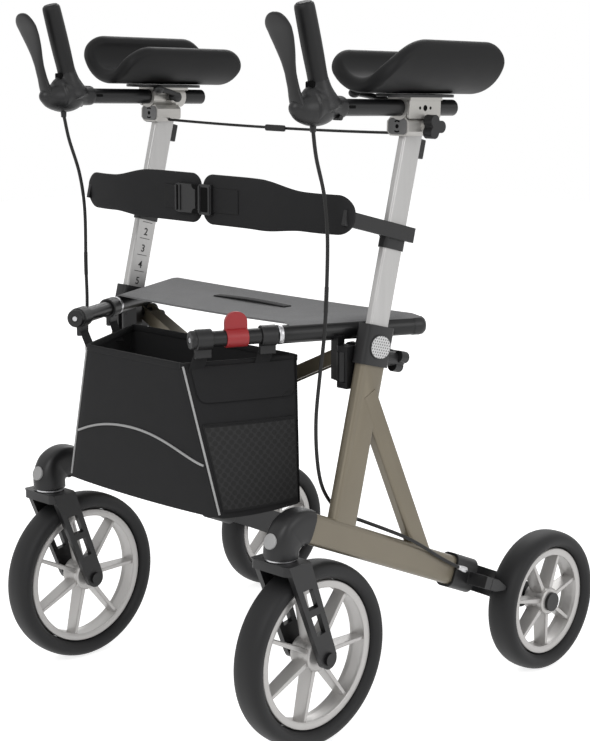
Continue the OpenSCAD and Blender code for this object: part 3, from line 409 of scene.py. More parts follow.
champagne = grained("champagne_paint", srgb(120, 112, 96), 0.40, 2600, 0.00002, 0.07, 0.35, Coat_Weight=0.15)
alloy = grained("satin_alloy", srgb(186, 185, 184), 0.36, 300, 0.00002, 0.05, 0.55, (9, 9, 0.35))
head_alloy = grained("cast_alloy", srgb(184, 182, 178), 0.40, 1500, 0.00004, 0.05, 0.5)
end_grey = grained("end_cap_grey", srgb(112, 112, 112), 0.5, 1200, 0.00005)
plastic = grained("black_moulding", srgb(28, 28, 29), 0.40, 1400, 0.00006, Specular_IOR_Level=0.36)
paint = grained("black_powder_coat", srgb(20, 20, 21), 0.34, 1900, 0.00004, Specular_IOR_Level=0.34)
rubber = grained("tyre_rubber", srgb(30, 30, 31), 0.55, 900, 0.00008, 0.16, Specular_IOR_Level=0.3)
soft_grip = grained("grip_rubber", srgb(19, 19, 20), 0.5, 1200, 0.00012, Specular_IOR_Level=0.3)
sheath = grained("cable_sheath", srgb(32, 32, 32), 0.45, 900, 0.00003, Specular_IOR_Level=0.25)
rim_grey = grained("rim_grey", srgb(192, 190, 188), 0.36, 1100, 0.00004, 0.04, 0.4)
steel = grained("turned_steel", srgb(190, 190, 192), 0.3, 800, 0.00002, 0.05, 0.9)
red = grained("red_moulding", srgb(160, 38, 42), 0.38, 1200, 0.00004, 0.06)
# Near-black with little gloss, for holes, slots and openings: painted shade where the real part is open.
painted_hole_shade = grained("painted_hole_shade", srgb(5, 5, 5), 0.8, 900, 0.00002, Specular_IOR_Level=0.1)
print_ink = grained("scale_ink", srgb(34, 34, 34), 0.6, 900, 0.00001)
piping_grey = grained("reflective_piping", srgb(176, 176, 176), 0.5, 1500, 0.00004)
print("hard finishes", len(bpy.data.materials))


# %% [markdown]
# ## Foam, cloth and reflectors
# The forearm pads have a soft skin with a pebble grain. The seat is a coarse woven sling, the bag a
# fine nylon, and the pocket a knitted net with round holes. The reflector is a white lens with dots.
# Threads modelled one by one would be far too many, so weave and dots are patterns on the UV map; the net's
# holes are near-black dots: the dark cloth behind, darkened further with painted shade.


# %% Soft finishes
def foam_skin(name, rgb):
    """Pebble grain: the distance to the nearest of many scattered points, about 1.4 mm apart."""
    material, tree, shader = new_finish(name, 0.55, Specular_IOR_Level=0.2)
    where = coordinates(tree)
    cells = tree.nodes.new("ShaderNodeTexVoronoi")
    cells.inputs["Scale"].default_value = 700
    tree.links.new(where, cells.inputs["Vector"])
    slow = noise(tree, where, 22, 2.0)
    tree.links.new(ramp(tree, slow, shade(rgb, 0.9), shade(rgb, 1.12)), shader.inputs["Base Color"])
    tree.links.new(spread(tree, slow, 0.47, 0.6), shader.inputs["Roughness"])
    raise_surface(tree, shader, cells.outputs["Distance"], 0.00012, 0.4)
    return material


def woven(name, rgb, pitch, depth, rough=0.85, contrast=0.25):
    """Plain weave: two sets of threads a pitch apart, each a band pattern, multiplied into a height."""
    material, tree, shader = new_finish(name, rough, Specular_IOR_Level=0.2, Sheen_Weight=0.04,
                                        Sheen_Roughness=0.5)
    threads = []
    for axis in ("X", "Y"):
        band = tree.nodes.new("ShaderNodeTexWave")
        band.bands_direction = axis
        band.inputs["Scale"].default_value = math.pi / (10 * pitch * MM)
        band.inputs["Distortion"].default_value = 0.3
        tree.links.new(coordinates(tree, "UV"), band.inputs["Vector"])
        threads.append(band.outputs["Fac"])
    height = combine(tree, "MULTIPLY", *threads)
    slow = noise(tree, coordinates(tree, "UV"), 30, 4.0)
    mixed = weighed(tree, height, slow, 0.7)
    tree.links.new(ramp(tree, mixed, shade(rgb, 1 - contrast), shade(rgb, 1 + contrast), 0.1, 0.8),
                   shader.inputs["Base Color"])
    raise_surface(tree, shader, height, depth)
    return material


def dotted(name, ground, dot, pitch, rise, radius, rough, depth=0.0002):
    """Round dots in offset rows on the UV map, a pitch apart in the row and a rise from row to row:
    the distance to the nearest point of two grids, thresholded."""
    material, tree, shader = new_finish(name, rough)
    masks = []
    for shift in (0.0, 0.5):
        where = tree.nodes.new("ShaderNodeMapping")
        where.inputs["Scale"].default_value = (1 / (pitch * MM), 1 / (2 * rise * MM), 1)
        where.inputs["Location"].default_value = (shift, shift, 0)
        tree.links.new(coordinates(tree, "UV"), where.inputs["Vector"])
        parts = tree.nodes.new("ShaderNodeVectorMath")
        parts.operation = "FRACTION"
        tree.links.new(where.outputs["Vector"], parts.inputs[0])
        middle = tree.nodes.new("ShaderNodeVectorMath")
        middle.operation = "MULTIPLY_ADD"
        middle.inputs[1].default_value = (1, 2 * rise / pitch, 0)
        middle.inputs[2].default_value = (-0.5, -rise / pitch, 0)
        tree.links.new(parts.outputs[0], middle.inputs[0])
        size = tree.nodes.new("ShaderNodeVectorMath")
        size.operation = "LENGTH"
        tree.links.new(middle.outputs[0], size.inputs[0])
        masks.append(size.outputs["Value"])
    near = combine(tree, "MINIMUM", *masks)
    mask = ramp(tree, near, (0, 0, 0, 1), (1, 1, 1, 1), radius - 0.05, radius + 0.05)
    mix = tree.nodes.new("ShaderNodeMix")
    mix.data_type = "RGBA"
    mix.inputs["A"].default_value, mix.inputs["B"].default_value = dot, ground
    tree.links.new(mask, mix.inputs["Factor"])
    tree.links.new(mix.outputs["Result"], shader.inputs["Base Color"])
    raise_surface(tree, shader, mask, depth)
    return material


foam = foam_skin("pad_skin", srgb(17, 17, 18))
sling_cloth = woven("sling_weave", srgb(140, 140, 141), 1.3, 0.0002)
nylon = woven("bag_nylon", srgb(37, 37, 38), 0.9, 0.00012, 0.8)
belt_cloth = woven("belt_cloth", srgb(38, 38, 39), 0.8, 0.0001, 0.82)
webbing = woven("black_webbing", srgb(31, 31, 32), 1.6, 0.00025, 0.75)
# The net's holes are near-black dots: the dark cloth behind, with painted shade inside the pocket.
net = dotted("pocket_net", srgb(32, 32, 33), srgb(3, 3, 3), 11.0, 6.0, 0.32, 0.8)
lens = dotted("reflector_lens", srgb(226, 226, 226), srgb(120, 120, 122), 4.6, 3.6, 0.25, 0.25)
print("finishes", len(bpy.data.materials))

# %% [markdown]
# ## Floor
# The floor is white to the eye, and only the walker's shadow dims it. A stronger lamp would whiten it too,
# but would bleach the walker. So a diffuse surface is given a white glow that only the camera and
# reflections see, and the ground stays pale with no more light on the walker.

# %% Floor
FLOOR_HALF, FLOOR_Z = 6.0, -0.0005
floor_mesh = bpy.data.meshes.new("floor")
floor_mesh.from_pydata(
    [(x * FLOOR_HALF, y * FLOOR_HALF, FLOOR_Z) for x, y in ((-1, -1), (1, -1), (1, 1), (-1, 1))],
    [], [(0, 1, 2, 3)])
floor = bpy.data.objects.new("floor", floor_mesh)
bpy.context.scene.collection.objects.link(floor)
ground, ground_tree, ground_shader = new_finish(
    "pale_floor", 0.9, Specular_IOR_Level=0.1, Base_Color=(0.86, 0.86, 0.86, 1), Emission_Color=(1, 1, 1, 1))
glow = spread(ground_tree, white_to_eye(ground_tree), 0.0, 0.8)
ground_tree.links.new(glow, ground_shader.inputs["Emission Strength"])
floor_mesh.materials.append(ground)
print("floor", 2 * FLOOR_HALF, "m across")

# %% [markdown]
# ## Brake cables
# Each brake cable runs in one smooth line from its housing, beside the mast, to the rear brake. A curve
# with a bevel could draw it, but here a ring is carried along the points to give a mesh.
# The handle slides in its clamp head and the mast slides in the frame, so the cable is two stretches that
# meet beside the mast in a sleeve.

# %% Brake cables
CABLE = [
    (253, -219, 820), (253, -213, 785), (253, -198, 735), (253, -192, 680), (253, -194, 600),
    (251, -196, 550), (248, -201, 497), (244, -203, 444), (238, -195, 392), (232, -180, 350),
    (230, -159, 320), (232, -135, 300), (243, -109, 287), (258, -79, 272), (267, -48, 256),
    (269, -14, 236), (269, 22, 213), (270.4, 54, 194), (270.4, 78, 182)]
CABLE_D, CABLE_STEPS, CABLE_MEET, CABLE_HELD = 5.0, 8, 4, 8
CABLE_LEAN = {"left": 0.0, "right": 14.0}
cable_path = curve_through(CABLE, CABLE_STEPS)
meet = CABLE_MEET * CABLE_STEPS


def mirrored(points, side):
    """Points in metres, on the left or right of the walker."""
    return np.asarray(points, float) * (MM * side, MM, MM)


def leaning(path, by):
    """The path moved inwards by a half sine wave of height by, over about the first two thirds of it."""
    inwards = by * np.sin(np.pi * np.clip(np.linspace(0, 1.45, len(path)), 0, 1))
    return path - inwards[:, None] * (1, 0, 0)


for word, side in SIDES.items():
    path = leaning(cable_path, CABLE_LEAN[word])
    sleeve_points = carried(ring(CABLE_D / 2 + 0.35), path[meet - 2: meet + 3])
    sleeve = make(f"{word}_cable_sleeve", [capped(sleeve_points)],
                  sheath, f"{word}_post", "cable_sheath", side)
    stretches = {"upper": (path[: meet + 1], -1, "arm", "post", "connector", [sleeve]),
                 "lower": (path[meet:], CABLE_HELD * CABLE_STEPS, "post", "frame", "object", [])}
    for part, (line, held, first, second, far_end, partners) in stretches.items():
        cable = make(f"{word}_cable_{part}", [capped(carried(ring(CABLE_D / 2), line))],
                     sheath, None, "cable_sheath", side)
        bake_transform(cable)
        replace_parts(cable, f"{word}_brake_cable")
    print(word, "brake cable", round(path_length(path)), "mm")

# %% [markdown]
# ## Elastic cord
# A thin elastic cord with a small plate in its middle spans the two masts. A simulated rope would hang,
# and this one is taut, so a few points with a slight sag draw it.

# %% Elastic cord between the masts
CORD = [(234.5, -33, 807.5), (160, -33, 806), (80, -33, 805), (0, -33, 804.7),
        (-80, -33, 805), (-160, -33, 806), (-234.5, -33, 807.5)]
CORD_D, CORD_KEEP, PLATE_Y = 4.0, 0.36, -38.4
cord_path = curve_through(CORD, 6)
cord_end, cord_middle = CORD[0], CORD[len(CORD) // 2]


def facing_front(x, y, z):
    """Places an outline of (right, up, back) points upright, with its near face at y."""
    return lambda p: p[..., [0, 2, 1]] + (x, y, z)


def folds(pieces):
    """Gives each soft piece between the two sides a mesh of its own."""
    for piece in pieces:
        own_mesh(piece)


elastic = make("elastic_cord", [capped(carried(ring(CORD_D / 2, 12), cord_path, (0, 0, 1)))],
               sheath, "left_post", "cable_sheath")
cord_plate = make("elastic_plate", [slab(round_box(40, 9, 3), facing_front(0, PLATE_Y, cord_middle[2]), 3)],
                  plastic, "left_post", "cable_sheath", soften=0.6)
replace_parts(elastic, "fold_cord")
folds([elastic, cord_plate])
print("elastic cord", round(path_length(cord_path)), "mm")

# %% [markdown]
# ## Places on the walker
# Three slanted frames carry most of the trim: the forearm support, which tips 2 degrees; the seat
# rail, which runs inwards to the front; and the mast, which leans back. An empty could hold each place,
# but a finished piece has to sit at the origin, so each function takes points in its own frame and
# gives points in the walker.

# %% Slanted frames
ARM_AT, ARM_TIP = np.array([254.0, -26.475, 841.502]), math.radians(2)
RAIL_AT, RAIL_YAW = np.array([253.0, -10.07, 546.98]), math.radians(23.8)
MAST_AT, MAST_LEAN = np.array([251.0, -165.99, 278.43]), math.radians(14.4)


def tipped(p, angle, origin):
    """Points turned about the cross axis: backwards and up are mixed by the cosine and sine of the angle."""
    p = np.asarray(p, float)
    c, s = math.cos(angle), math.sin(angle)
    return np.stack([p[..., 0], p[..., 1] * c + p[..., 2] * s, p[..., 2] * c - p[..., 1] * s], -1) + origin


def on_arm(p):
    """(outwards, backwards, up) on the forearm support."""
    return tipped(p, ARM_TIP, ARM_AT)


def on_mast(p):
    """(outwards, backwards across the mast, up along the mast) from the foot of the upright."""
    return tipped(p, MAST_LEAN, MAST_AT)


def on_rail(p):
    """(outwards, up, forwards along the rail) from the rail's rear end, turned about the upright axis."""
    p = np.asarray(p, float)
    c, s = math.cos(RAIL_YAW), math.sin(RAIL_YAW)
    return np.stack([p[..., 0] * c - p[..., 2] * s, -p[..., 0] * s - p[..., 2] * c, p[..., 1]], -1) + RAIL_AT


def way(place, vector):
    """The direction in the walker of a vector in a slanted frame: its end less its start."""
    return place(np.asarray(vector, float)) - place(np.zeros(3))


def disc(place, centre, axis, radius, height=0.6, depth=1.0, sides=40):
    """A low round stud or hole mark with a softened rim, on a face of a slanted frame."""
    rim = min(0.4, radius * 0.2)
    profile = [(0, height), (radius - rim, height), (radius, height - rim), (radius, -depth), (0, -depth)]
    return turned(profile, place(np.asarray(centre, float)), way(place, axis), sides)


RAIL_WAY = way(on_rail, (0, 0, 1))
print("rails run along", np.round(RAIL_WAY, 3))

# %% [markdown]
# ## Forearm pads
# The pad is a moulded gutter of foam. A sculpted block could show it, but a formula keeps its wall even:
# an arc of an ellipse with an even thickness, whose two lips are half circles. Towards each end the
# arc gets shorter, which rounds the corners, and the thickness drops along a quarter circle, which
# rounds the end edges. The two front corners of each pad have their own radii, inner and outer.

# %% Pads
PAD_L, PAD_HALF, PAD_RISE, PAD_T, PAD_CORNER = 234, 50, 46, 10, 40
PAD_FRONT_CORNERS = {"left": (36, 76), "right": (46, 38)}
PAD_IN, PAD_OUT, PAD_SHIFT, PAD_Z = math.radians(76), math.radians(95), 3, 28.4
PAD_END = 0.3


def round_off(d, r):
    """How far a corner of radius r stands back at a distance d from its edge."""
    return r - np.sqrt(np.maximum(r**2 - np.maximum(r - d, 0) ** 2, 0))


def pad_points(corners, stations=97, across=56, lip=12):
    """Rings of the gutter: x is half times sin(a) and z is rise times (1 - cos(a)), and the two skins stand
    off that arc along its normal by the thickness."""
    v = -np.cos(np.linspace(0, np.pi, stations))
    d = PAD_END + PAD_L / 2 * (1 - np.abs(v))
    cut, cut_out = (round_off(d, np.where(v < 0, r, PAD_CORNER))[:, None] / PAD_HALF for r in corners)
    thick = (PAD_T - round_off(d, PAD_T))[:, None, None]
    a = cut - PAD_IN + np.linspace(0, 1, across) * (PAD_IN + PAD_OUT - cut - cut_out)
    middle = np.stack([PAD_HALF * np.sin(a), PAD_RISE * (1 - np.cos(a))], -1)
    normal = unit(np.stack([-PAD_RISE * np.sin(a), PAD_HALF * np.cos(a)], -1))
    turn = np.linspace(0, np.pi, lip + 1)[1:-1][None, :, None]

    def lip_of(k, side):
        """A half circle about an end of the arc, from one skin to the other."""
        n = normal[:, k][:, None]
        out = side * np.stack([n[..., 1], -n[..., 0]], -1)
        return middle[:, k][:, None] + thick * (n * np.cos(turn) + out * np.sin(turn))

    section = np.concatenate([middle + thick * normal, lip_of(-1, 1), (middle - thick * normal)[:, ::-1],
                              lip_of(0, -1)[:, ::-1]], 1)
    along = np.broadcast_to((v * PAD_L / 2 + PAD_SHIFT)[:, None], section.shape[:2])
    return on_arm(np.stack([section[..., 0], along, section[..., 1] + PAD_Z], -1))


for word, side in SIDES.items():
    pad = make(f"{word}_pad", [capped(pad_points(PAD_FRONT_CORNERS[word]))], foam, f"{word}_post", "pad_foam",
               side, sharp=60)
    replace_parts(pad, f"{word}_arm_pad")

# %% [markdown]
# ## Wheels
# The tyres are soft rubber and the rims pale mouldings. A torus and a few cubes would do for a sketch.
# Here a tyre is a superellipse turned about the axle, so its shoulders are soft. The rim is a turned band
# with a raised lip on each side, a waisted hub, and seven thin blades that are deep along the axle
# and taper towards the band.

# %% Tyres and rims
TYRE_W, TYRE_H, SPOKES, PHASE = 46, 25, 7, {"front": 0.0, "rear": 0.26}
WHEELS = {"front": (245, -214, 127, 22), "rear": (288, 236, 105, 20)}
BLADE_DEEP, BLADE_THICK = (25, 21), (7.5, 5)


def hoop(profile, centre, sides=144):
    """A closed profile of (radius, along) points turned about the cross axis."""
    profile = np.asarray(profile, float)
    return turned(np.concatenate([profile, profile[:1]]), centre, sides=sides)


def both_sides(half):
    """Half a profile of (radius, along) points, and its mirror image across the wheel's middle."""
    half = np.asarray(half, float)
    return np.concatenate([half, half[::-1] * (1, -1)])


def rim_profile(band):
    """The rim's band: flat under the tyre, with a rounded lip on each side."""
    return both_sides([(band, 13.5), (band - 1, 14.6), (band - 3, 15), (band - 8, 14.7), (band - 10.5, 13.4),
                       (band - 10.5, 12), (band - 9, 9.5), (band - 8.5, 5)])


def hub_profile(hub_r):
    """The hub: two round ends and a waist, with a bore for the axle."""
    return both_sides([(6.2, -18), (hub_r - 2, -18), (hub_r, -16), (hub_r, -10), (hub_r - 3, -5)])


def spoke(angle, hub_r, rim_r, centre, steps=8):
    """A blade from hub to rim: a rounded rectangle whose depth and thickness fall along its length."""
    t = np.linspace(0, 1, steps)[:, None, None]
    sizes = np.concatenate([start + (end - start) * t for start, end in (BLADE_DEEP, BLADE_THICK)], -1)
    section = round_box(1, 1, 0.12, 4)[None] * sizes
    r = hub_r - 3 + t[..., 0] * (rim_r - hub_r + 5) + 0 * section[..., 0]
    c, s = math.cos(angle), math.sin(angle)
    across = section[..., 1]
    points = np.stack([section[..., 0], r * c - across * s, r * s + across * c], -1)
    return capped(points + np.asarray(centre, float))


for word, side in SIDES.items():
    for place, (x, y, r, hub_r) in WHEELS.items():
        centre, band = (x, y, r), r - TYRE_H
        body = f"{word}_{place}_wheel"
        tread = oval(TYRE_W, TYRE_H - 0.3, 2.4, 44)[:, ::-1] + (r - TYRE_H / 2 + 0.1, 0)
        tyre = make(f"{word}_{place}_tread", [hoop(tread, centre)], rubber, body, "tyre_rubber", side)
        angles = PHASE[place] + 2 * np.pi * np.arange(SPOKES) / SPOKES
        blades = [spoke(angle, hub_r - 2, band - 9, centre) for angle in angles]
        rounds = [hoop(rim_profile(band), centre), hoop(hub_profile(hub_r), centre, 72)]
        rim = make(f"{word}_{place}_wheel_rim", rounds + blades, rim_grey, body, "rim_grey", side, soften=0.5)
        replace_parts(tyre, f"{word}_{place}_tyre")
        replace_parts(rim, f"{word}_{place}_rim")
print("wheels", 2 * len(WHEELS), "with", SPOKES, "blades each")

# %% [markdown]
# ## Caster heads
# The black elbow over each front wheel holds the swivel. Cutting and joining blocks would leave hard seams,
# so one section is carried along a path that comes straight up from the fork, bends back in an arc and
# ends on the lower tube. The section starts as a circle over the bearing and becomes a rounded rectangle
# that fits the tube. A grey reflector sits on its brow.

# %% Caster heads
HEAD_X, HEAD_MID, HEAD_R, HEAD_FALL = 245.0, (-242.0, 281.2), 27.0, math.radians(22.9)
BEARING_AT = (HEAD_X, -269, 269.4)
head_turn = np.concatenate([np.zeros(4), np.linspace(0, math.pi / 2 + HEAD_FALL, 40),
                            np.full(3, math.pi / 2 + HEAD_FALL)])
run_on = np.concatenate([np.linspace(-8.2, -1.5, 4), np.zeros(40), [1.0, 2.0, 3.0]])
head_share = np.linspace(0, 1, len(head_turn))
head_path = np.stack([HEAD_X + 3 * np.clip(head_share * 2, 0, 1),
                      HEAD_MID[0] - HEAD_R * np.cos(head_turn) + run_on * np.sin(head_turn),
                      HEAD_MID[1] + HEAD_R * np.sin(head_turn) + run_on * np.cos(head_turn)], -1)
blend_in = np.clip(head_share * 2.2, 0, 1)[:, None, None] ** 2
head_section = oval(47, 45, 2.1, 64) * (1 - blend_in) + oval(48.5, 38, 3.6, 64) * blend_in
BROW = math.radians(19)
brow_way = np.array([0, -math.cos(BROW), math.sin(BROW)])
brow_at = np.array([HEAD_X + 1.2, *HEAD_MID]) + brow_way * (HEAD_R + 24)
BROW_LENS = [(0, 1.3), (9.3, 1.1), (10.4, 0.3), (10.4, -3), (0, -3)]
BEARING = [(16, 0), (20.6, 0), (21.2, 0.6), (21.2, 2.6), (20.6, 3.2), (16, 3.2)]
for word, side in SIDES.items():
    head = make(f"{word}_elbow", [capped(carried(head_section, head_path, (1, 0, 0)))], plastic,
                f"{word}_frame", "black_plastic", side, soften=1.0)
    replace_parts(head, f"{word}_caster_head")
    make(f"{word}_brow_reflector", [turned(BROW_LENS, brow_at, brow_way)],
         piping_grey, f"{word}_frame", None, side)
    make(f"{word}_bearing_line", [turned(BEARING, BEARING_AT, (0, 0, 1))],
         steel, f"{word}_caster", "axle_steel", side)
print("head path", round(path_length(head_path)), "mm")

# %% [markdown]
# ## Brake levers
# The lever is a spoon, narrow at its foot and broad at its round top. A subdivided cage could be pulled
# into that form by hand. Here an oval section is carried along a curved line, and its width and
# thickness are read from a few stations, which a designer can change one by one.

# %% Brake levers
LEVER = [(254, -244, 846), (254, -247.5, 853), (254, -250.8, 861), (254, -253.6, 870),
         (254, -257.4, 882.8), (254, -261.4, 897.4), (254, -265.6, 912), (254, -270.8, 926.5),
         (254, -277, 940.9), (254, -283.6, 954), (254, -287.6, 965)]
LEVER_WIDE = [(0, 25), (14, 21), (30, 17), (48, 17.5), (62, 23), (78, 32), (94, 40), (108, 44), (126, 44)]
LEVER_THICK = [(0, 13), (25, 10), (60, 7.5), (126, 5.6)]
lever_path = curve_through(LEVER, 8)
lever_along = np.concatenate([[0], np.cumsum(np.linalg.norm(np.diff(lever_path, axis=0), axis=1))])
lever_left = lever_along[-1] - lever_along
lever_wide = np.interp(lever_along, *zip(*LEVER_WIDE))
lever_wide = lever_wide - 2 * round_off(lever_left + 0.25, 21) - 2 * round_off(lever_along + 1.0, 6)
lever_thick = np.interp(lever_along, *zip(*LEVER_THICK)) - 2 * round_off(lever_left + 0.3, 2.6)
lever_section = oval(2, 2, 2.8, 36) / 2 * np.stack([lever_thick, lever_wide], -1)[:, None, :]
for word, side in SIDES.items():
    lever = make(f"{word}_lever_blade", [capped(carried(lever_section, lever_path, (1, 0, 0)))], paint,
                 f"{word}_lever", "black_plastic", side, sharp=60)
    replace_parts(lever, f"{word}_brake_lever")
print("levers", round(lever_along[-1]), "mm long")

# %% [markdown]
# ## Housings and grips
# The housing is a smooth casting in which a ball, a nose, a post and a collar flow into each other.
# A boolean union would leave hard seams between them, so they are fused in fine voxels and relaxed instead.
# A cover closes it from below. The rubber grip is a profile turned about the slanted post.


# %% Bowls and castings
def bowl(centre, radii, top=89, rows=24, sides=48):
    """An ellipsoid, or its part under a latitude of top degrees, closed by a flat face."""
    a, b = np.radians(np.linspace(-89, top, rows))[:, None], np.linspace(0, 2 * np.pi, sides, endpoint=False)
    ball = np.stack([np.cos(a) * np.cos(b), np.cos(a) * np.sin(b), np.sin(a) + 0 * b], -1)
    return capped(np.asarray(centre, float) + ball * radii)


def cast(piece, voxel, rounds):
    """Fuses the forms of a piece in voxels and relaxes them, so that they flow into each other."""
    remesh, smooth = piece.modifiers.new("voxels", "REMESH"), piece.modifiers.new("relaxed", "SMOOTH")
    remesh.mode, remesh.voxel_size, remesh.use_smooth_shade = "VOXEL", voxel * MM, True
    smooth.factor, smooth.iterations = 0.5, rounds
    mesh = bpy.data.meshes.new_from_object(piece.evaluated_get(bpy.context.evaluated_depsgraph_get()))
    finish = piece.data.materials[0]
    piece.modifiers.clear()
    piece.data = mesh
    mesh.materials.clear()
    mesh.materials.append(finish)
    return piece


# %% Housings and grips
POST_FOOT, POST_TOP = np.array([254.0, -202.4, 850.0]), np.array([254.0, -237.2, 977.5])
post_way = unit(POST_TOP - POST_FOOT)
tube_way = unit(way(on_arm, (0, 1, 0)))
POST = [(0, -4), (24, -4), (22.5, 4), (18.5, 13), (15.2, 22), (13.6, 32), (13.4, 36), (0, 36)]
COLLAR = [(0, -24), (23, -24), (20.5, -6), (16.5, 10), (14.6, 20), (14.2, 36), (0, 36)]
HOUSING = [bowl((254, -221, 846.5), (19.5, 36, 21)), bowl((254, -243, 848), (12.5, 17, 13)),
           bowl((254, -219, 860), (13, 20, 16)), turned(POST, POST_FOOT, post_way),
           turned(COLLAR, (254, -203, 848.2), tube_way)]
COVER = [bowl((254, -217, 845), (20.6, 35, 20.6), -6),
         turned([(0, -7), (3.6, -7), (3.6, 7), (0, 7)], (262, -184, 834.6)),
         turned([(0, -6), (3.8, -6), (4.6, 8), (0, 8)], (253, -219, 823), (0, 0, 1))]
# The lever's slot is a near-black inlay: painted shade in the housing's opening.
LEVER_SLOT = slab(round_box(13, 19, 2), facing_front(254, -227.4, 871), 8)
GRIP = [(0, 30), (12.6, 30), (13.3, 30.6), (13.4, 32.5), (13.0, 36), (13.0, 46), (13.4, 62), (13.6, 80),
        (13.5, 100), (13.3, 116), (13.1, 125), (12.6, 128.4), (11.8, 130), (10.8, 130.2), (10.0, 131.6),
        (9.0, 132), (4, 131.7), (0, 131.6)]
for word, side in SIDES.items():
    arm = f"{word}_arm"
    housing = cast(make(f"{word}_housing", HOUSING, plastic, arm, "black_plastic", side), 1.5, 14)
    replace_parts(housing, f"{word}_brake_housing")
    make(f"{word}_housing_cover", COVER, plastic, arm, "black_plastic", side, soften=1.0)
    make(f"{word}_housing_slot", [LEVER_SLOT], painted_hole_shade, arm, "black_plastic", side, soften=0.6)
    grip = make(f"{word}_grip", [turned(GRIP, POST_FOOT, post_way)],
                soft_grip, arm, "grip_rubber", side, sharp=50)
    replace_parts(grip, f"{word}_hand_grip")

# %% [markdown]
# ## Clamp heads
# An alloy head on each mast clamps the forearm tube. Its outer cheek is flat and has three holes, and the
# front end of its lower block has a grey cap with a middle hole and two curved slots. Holes could be cut
# with booleans, but at this size a thin near-black inlay, painted shade of the hole, looks the same and
# leaves the head's mesh clean.
# A black cam handle lies under each pad, and the left one is the longer.


# %% Clamp head trim
def arc_band(inner, outer, start, end, steps=14):
    """Outline of a curved slot between two radii and two angles, in degrees."""
    a = np.radians(np.linspace(start, end, steps))
    out = np.stack([np.cos(a), np.sin(a)], -1)
    return np.concatenate([out * outer, out[::-1] * inner])


def arm_face(x, y, z):
    """Places an outline of (right, up, back) points on the front of the forearm support."""
    return lambda p: on_arm(p[..., [0, 2, 1]] + (x, y, z))


def arm_side(x, y, z):
    """Places an outline of (back, up, out) points on the outer side of the forearm support."""
    return lambda p: on_arm(p[..., [2, 0, 1]] + (x, y, z))


CAP_AT, CAP_HOLE, CAP_SLOT = (-3, -31.2, -24.5), 3.2, (6.2, 8.2)
CHEEK_X, CHEEK_T, CHEEK_HOLES = 14.0, 4.2, ((-10.5, 2.4), (0, 4.2), (10.5, 2.4))
CHEEK = slab(round_box(63, 25, 3), arm_side(CHEEK_X, 0, -1.5), CHEEK_T)
END_CAP = slab(round_box(32, 21, 6), arm_face(*CAP_AT), 1.6)
# The holes and slots of the head, the cap and the tube are thin near-black inlays: painted shade where the
# real parts are open.
HOLES = [disc(on_arm, (CHEEK_X + CHEEK_T, y, 0), (1, 0, 0), r, 0.15) for y, r in CHEEK_HOLES]
HOLES.append(disc(on_arm, CAP_AT, (0, -1, 0), CAP_HOLE, 0.15))
HOLES += [slab(arc_band(*CAP_SLOT, start, start + 70), arm_face(CAP_AT[0], CAP_AT[1] - 0.15, CAP_AT[2]), 0.6)
          for start in (55, 235)]
TUBE_SLOTS = [slab(round_box(12, 4, 1.5), arm_side(x, -133, 1), 0.5) for x in (-11.2, 10.7)]
for word, side in SIDES.items():
    post = f"{word}_post"
    make(f"{word}_cheek", [CHEEK], head_alloy, post, "mast_alloy", side, soften=0.6)
    make(f"{word}_end_cap", [END_CAP], end_grey, post, "black_plastic", side, soften=0.4)
    make(f"{word}_head_holes", HOLES, painted_hole_shade, post, "black_plastic", side)
    make(f"{word}_arm_slots", TUBE_SLOTS, painted_hole_shade, f"{word}_arm", "black_plastic", side)
print("holes in each head", len(HOLES))

# %% Cam handles
CAM_PATHS = {"left": [(224, -24, 842.5), (224, -45, 850), (224, -80, 857.5), (224, -112, 862.5)],
             "right": [(224, -24, 843.5), (224, -42, 850), (224, -62, 854)]}
CAM_HUB = turned([(0, -5), (7, -5), (7.5, -4.5), (7.5, 8), (0, 8)], (225, -26.5, 841.5))
for word, side in SIDES.items():
    cam_path = curve_through(CAM_PATHS[word], 8)
    cam_bar = capped(carried(oval(11, 8, 2.6, 28), cam_path, (0, 0, 1)))
    handle = make(f"{word}_cam_handle", [cam_bar, bowl(cam_path[-1], (7, 9, 6.5)), CAM_HUB],
                  plastic, f"{word}_cam", "black_plastic", side, sharp=50)
    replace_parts(handle, f"{word}_clamp_lever")
    print(word, "cam handle", round(path_length(cam_path)), "mm")

# %% [markdown]
# ## Seat sling
# The seat is a strip of coarse cloth stretched between the two rails. A cloth simulation could settle it,
# but it is taut, so a formula shows it well. It is wider at the rear, because the rails
# run inwards, it sags a few millimetres in the middle, and its sides lap over the rails.
# A short pull strap lies on it.

# %% Sling and strap
SEAT_LIP, SEAT_FROM, SEAT_TO, SEAT_Z, SEAT_T, SEAT_SAG = 0.014, 3.0, 194.0, 561.5, 2.6, 4.0
SEAT_DROP, SEAT_KEEP, SEAT_ANCHOR = 2.6, 0.24, 199
STRAP_FROM, STRAP_TO, STRAP_AT_V, STRAP_LIFT = 0.34, 0.67, 0.40, 2.2


def seat_surface(u, v):
    """Point of the sling's middle layer: u crosses from left to right, v runs from rear to front. The sag is
    a parabola across, and past the rails the lip drops as a power of the distance."""
    edge = on_rail(np.stack([0 * v, 0 * v, SEAT_FROM + v * (SEAT_TO - SEAT_FROM)], -1))
    dip = SEAT_SAG * (1 - (2 * u - 1) ** 2) * (0.55 + 0.45 * np.sin(np.pi * v))
    over = np.maximum(np.maximum(-u, u - 1), 0) / SEAT_LIP
    return np.stack([edge[..., 0] * (1 - 2 * u), edge[..., 1], SEAT_Z - dip - SEAT_DROP * over**1.5], -1)


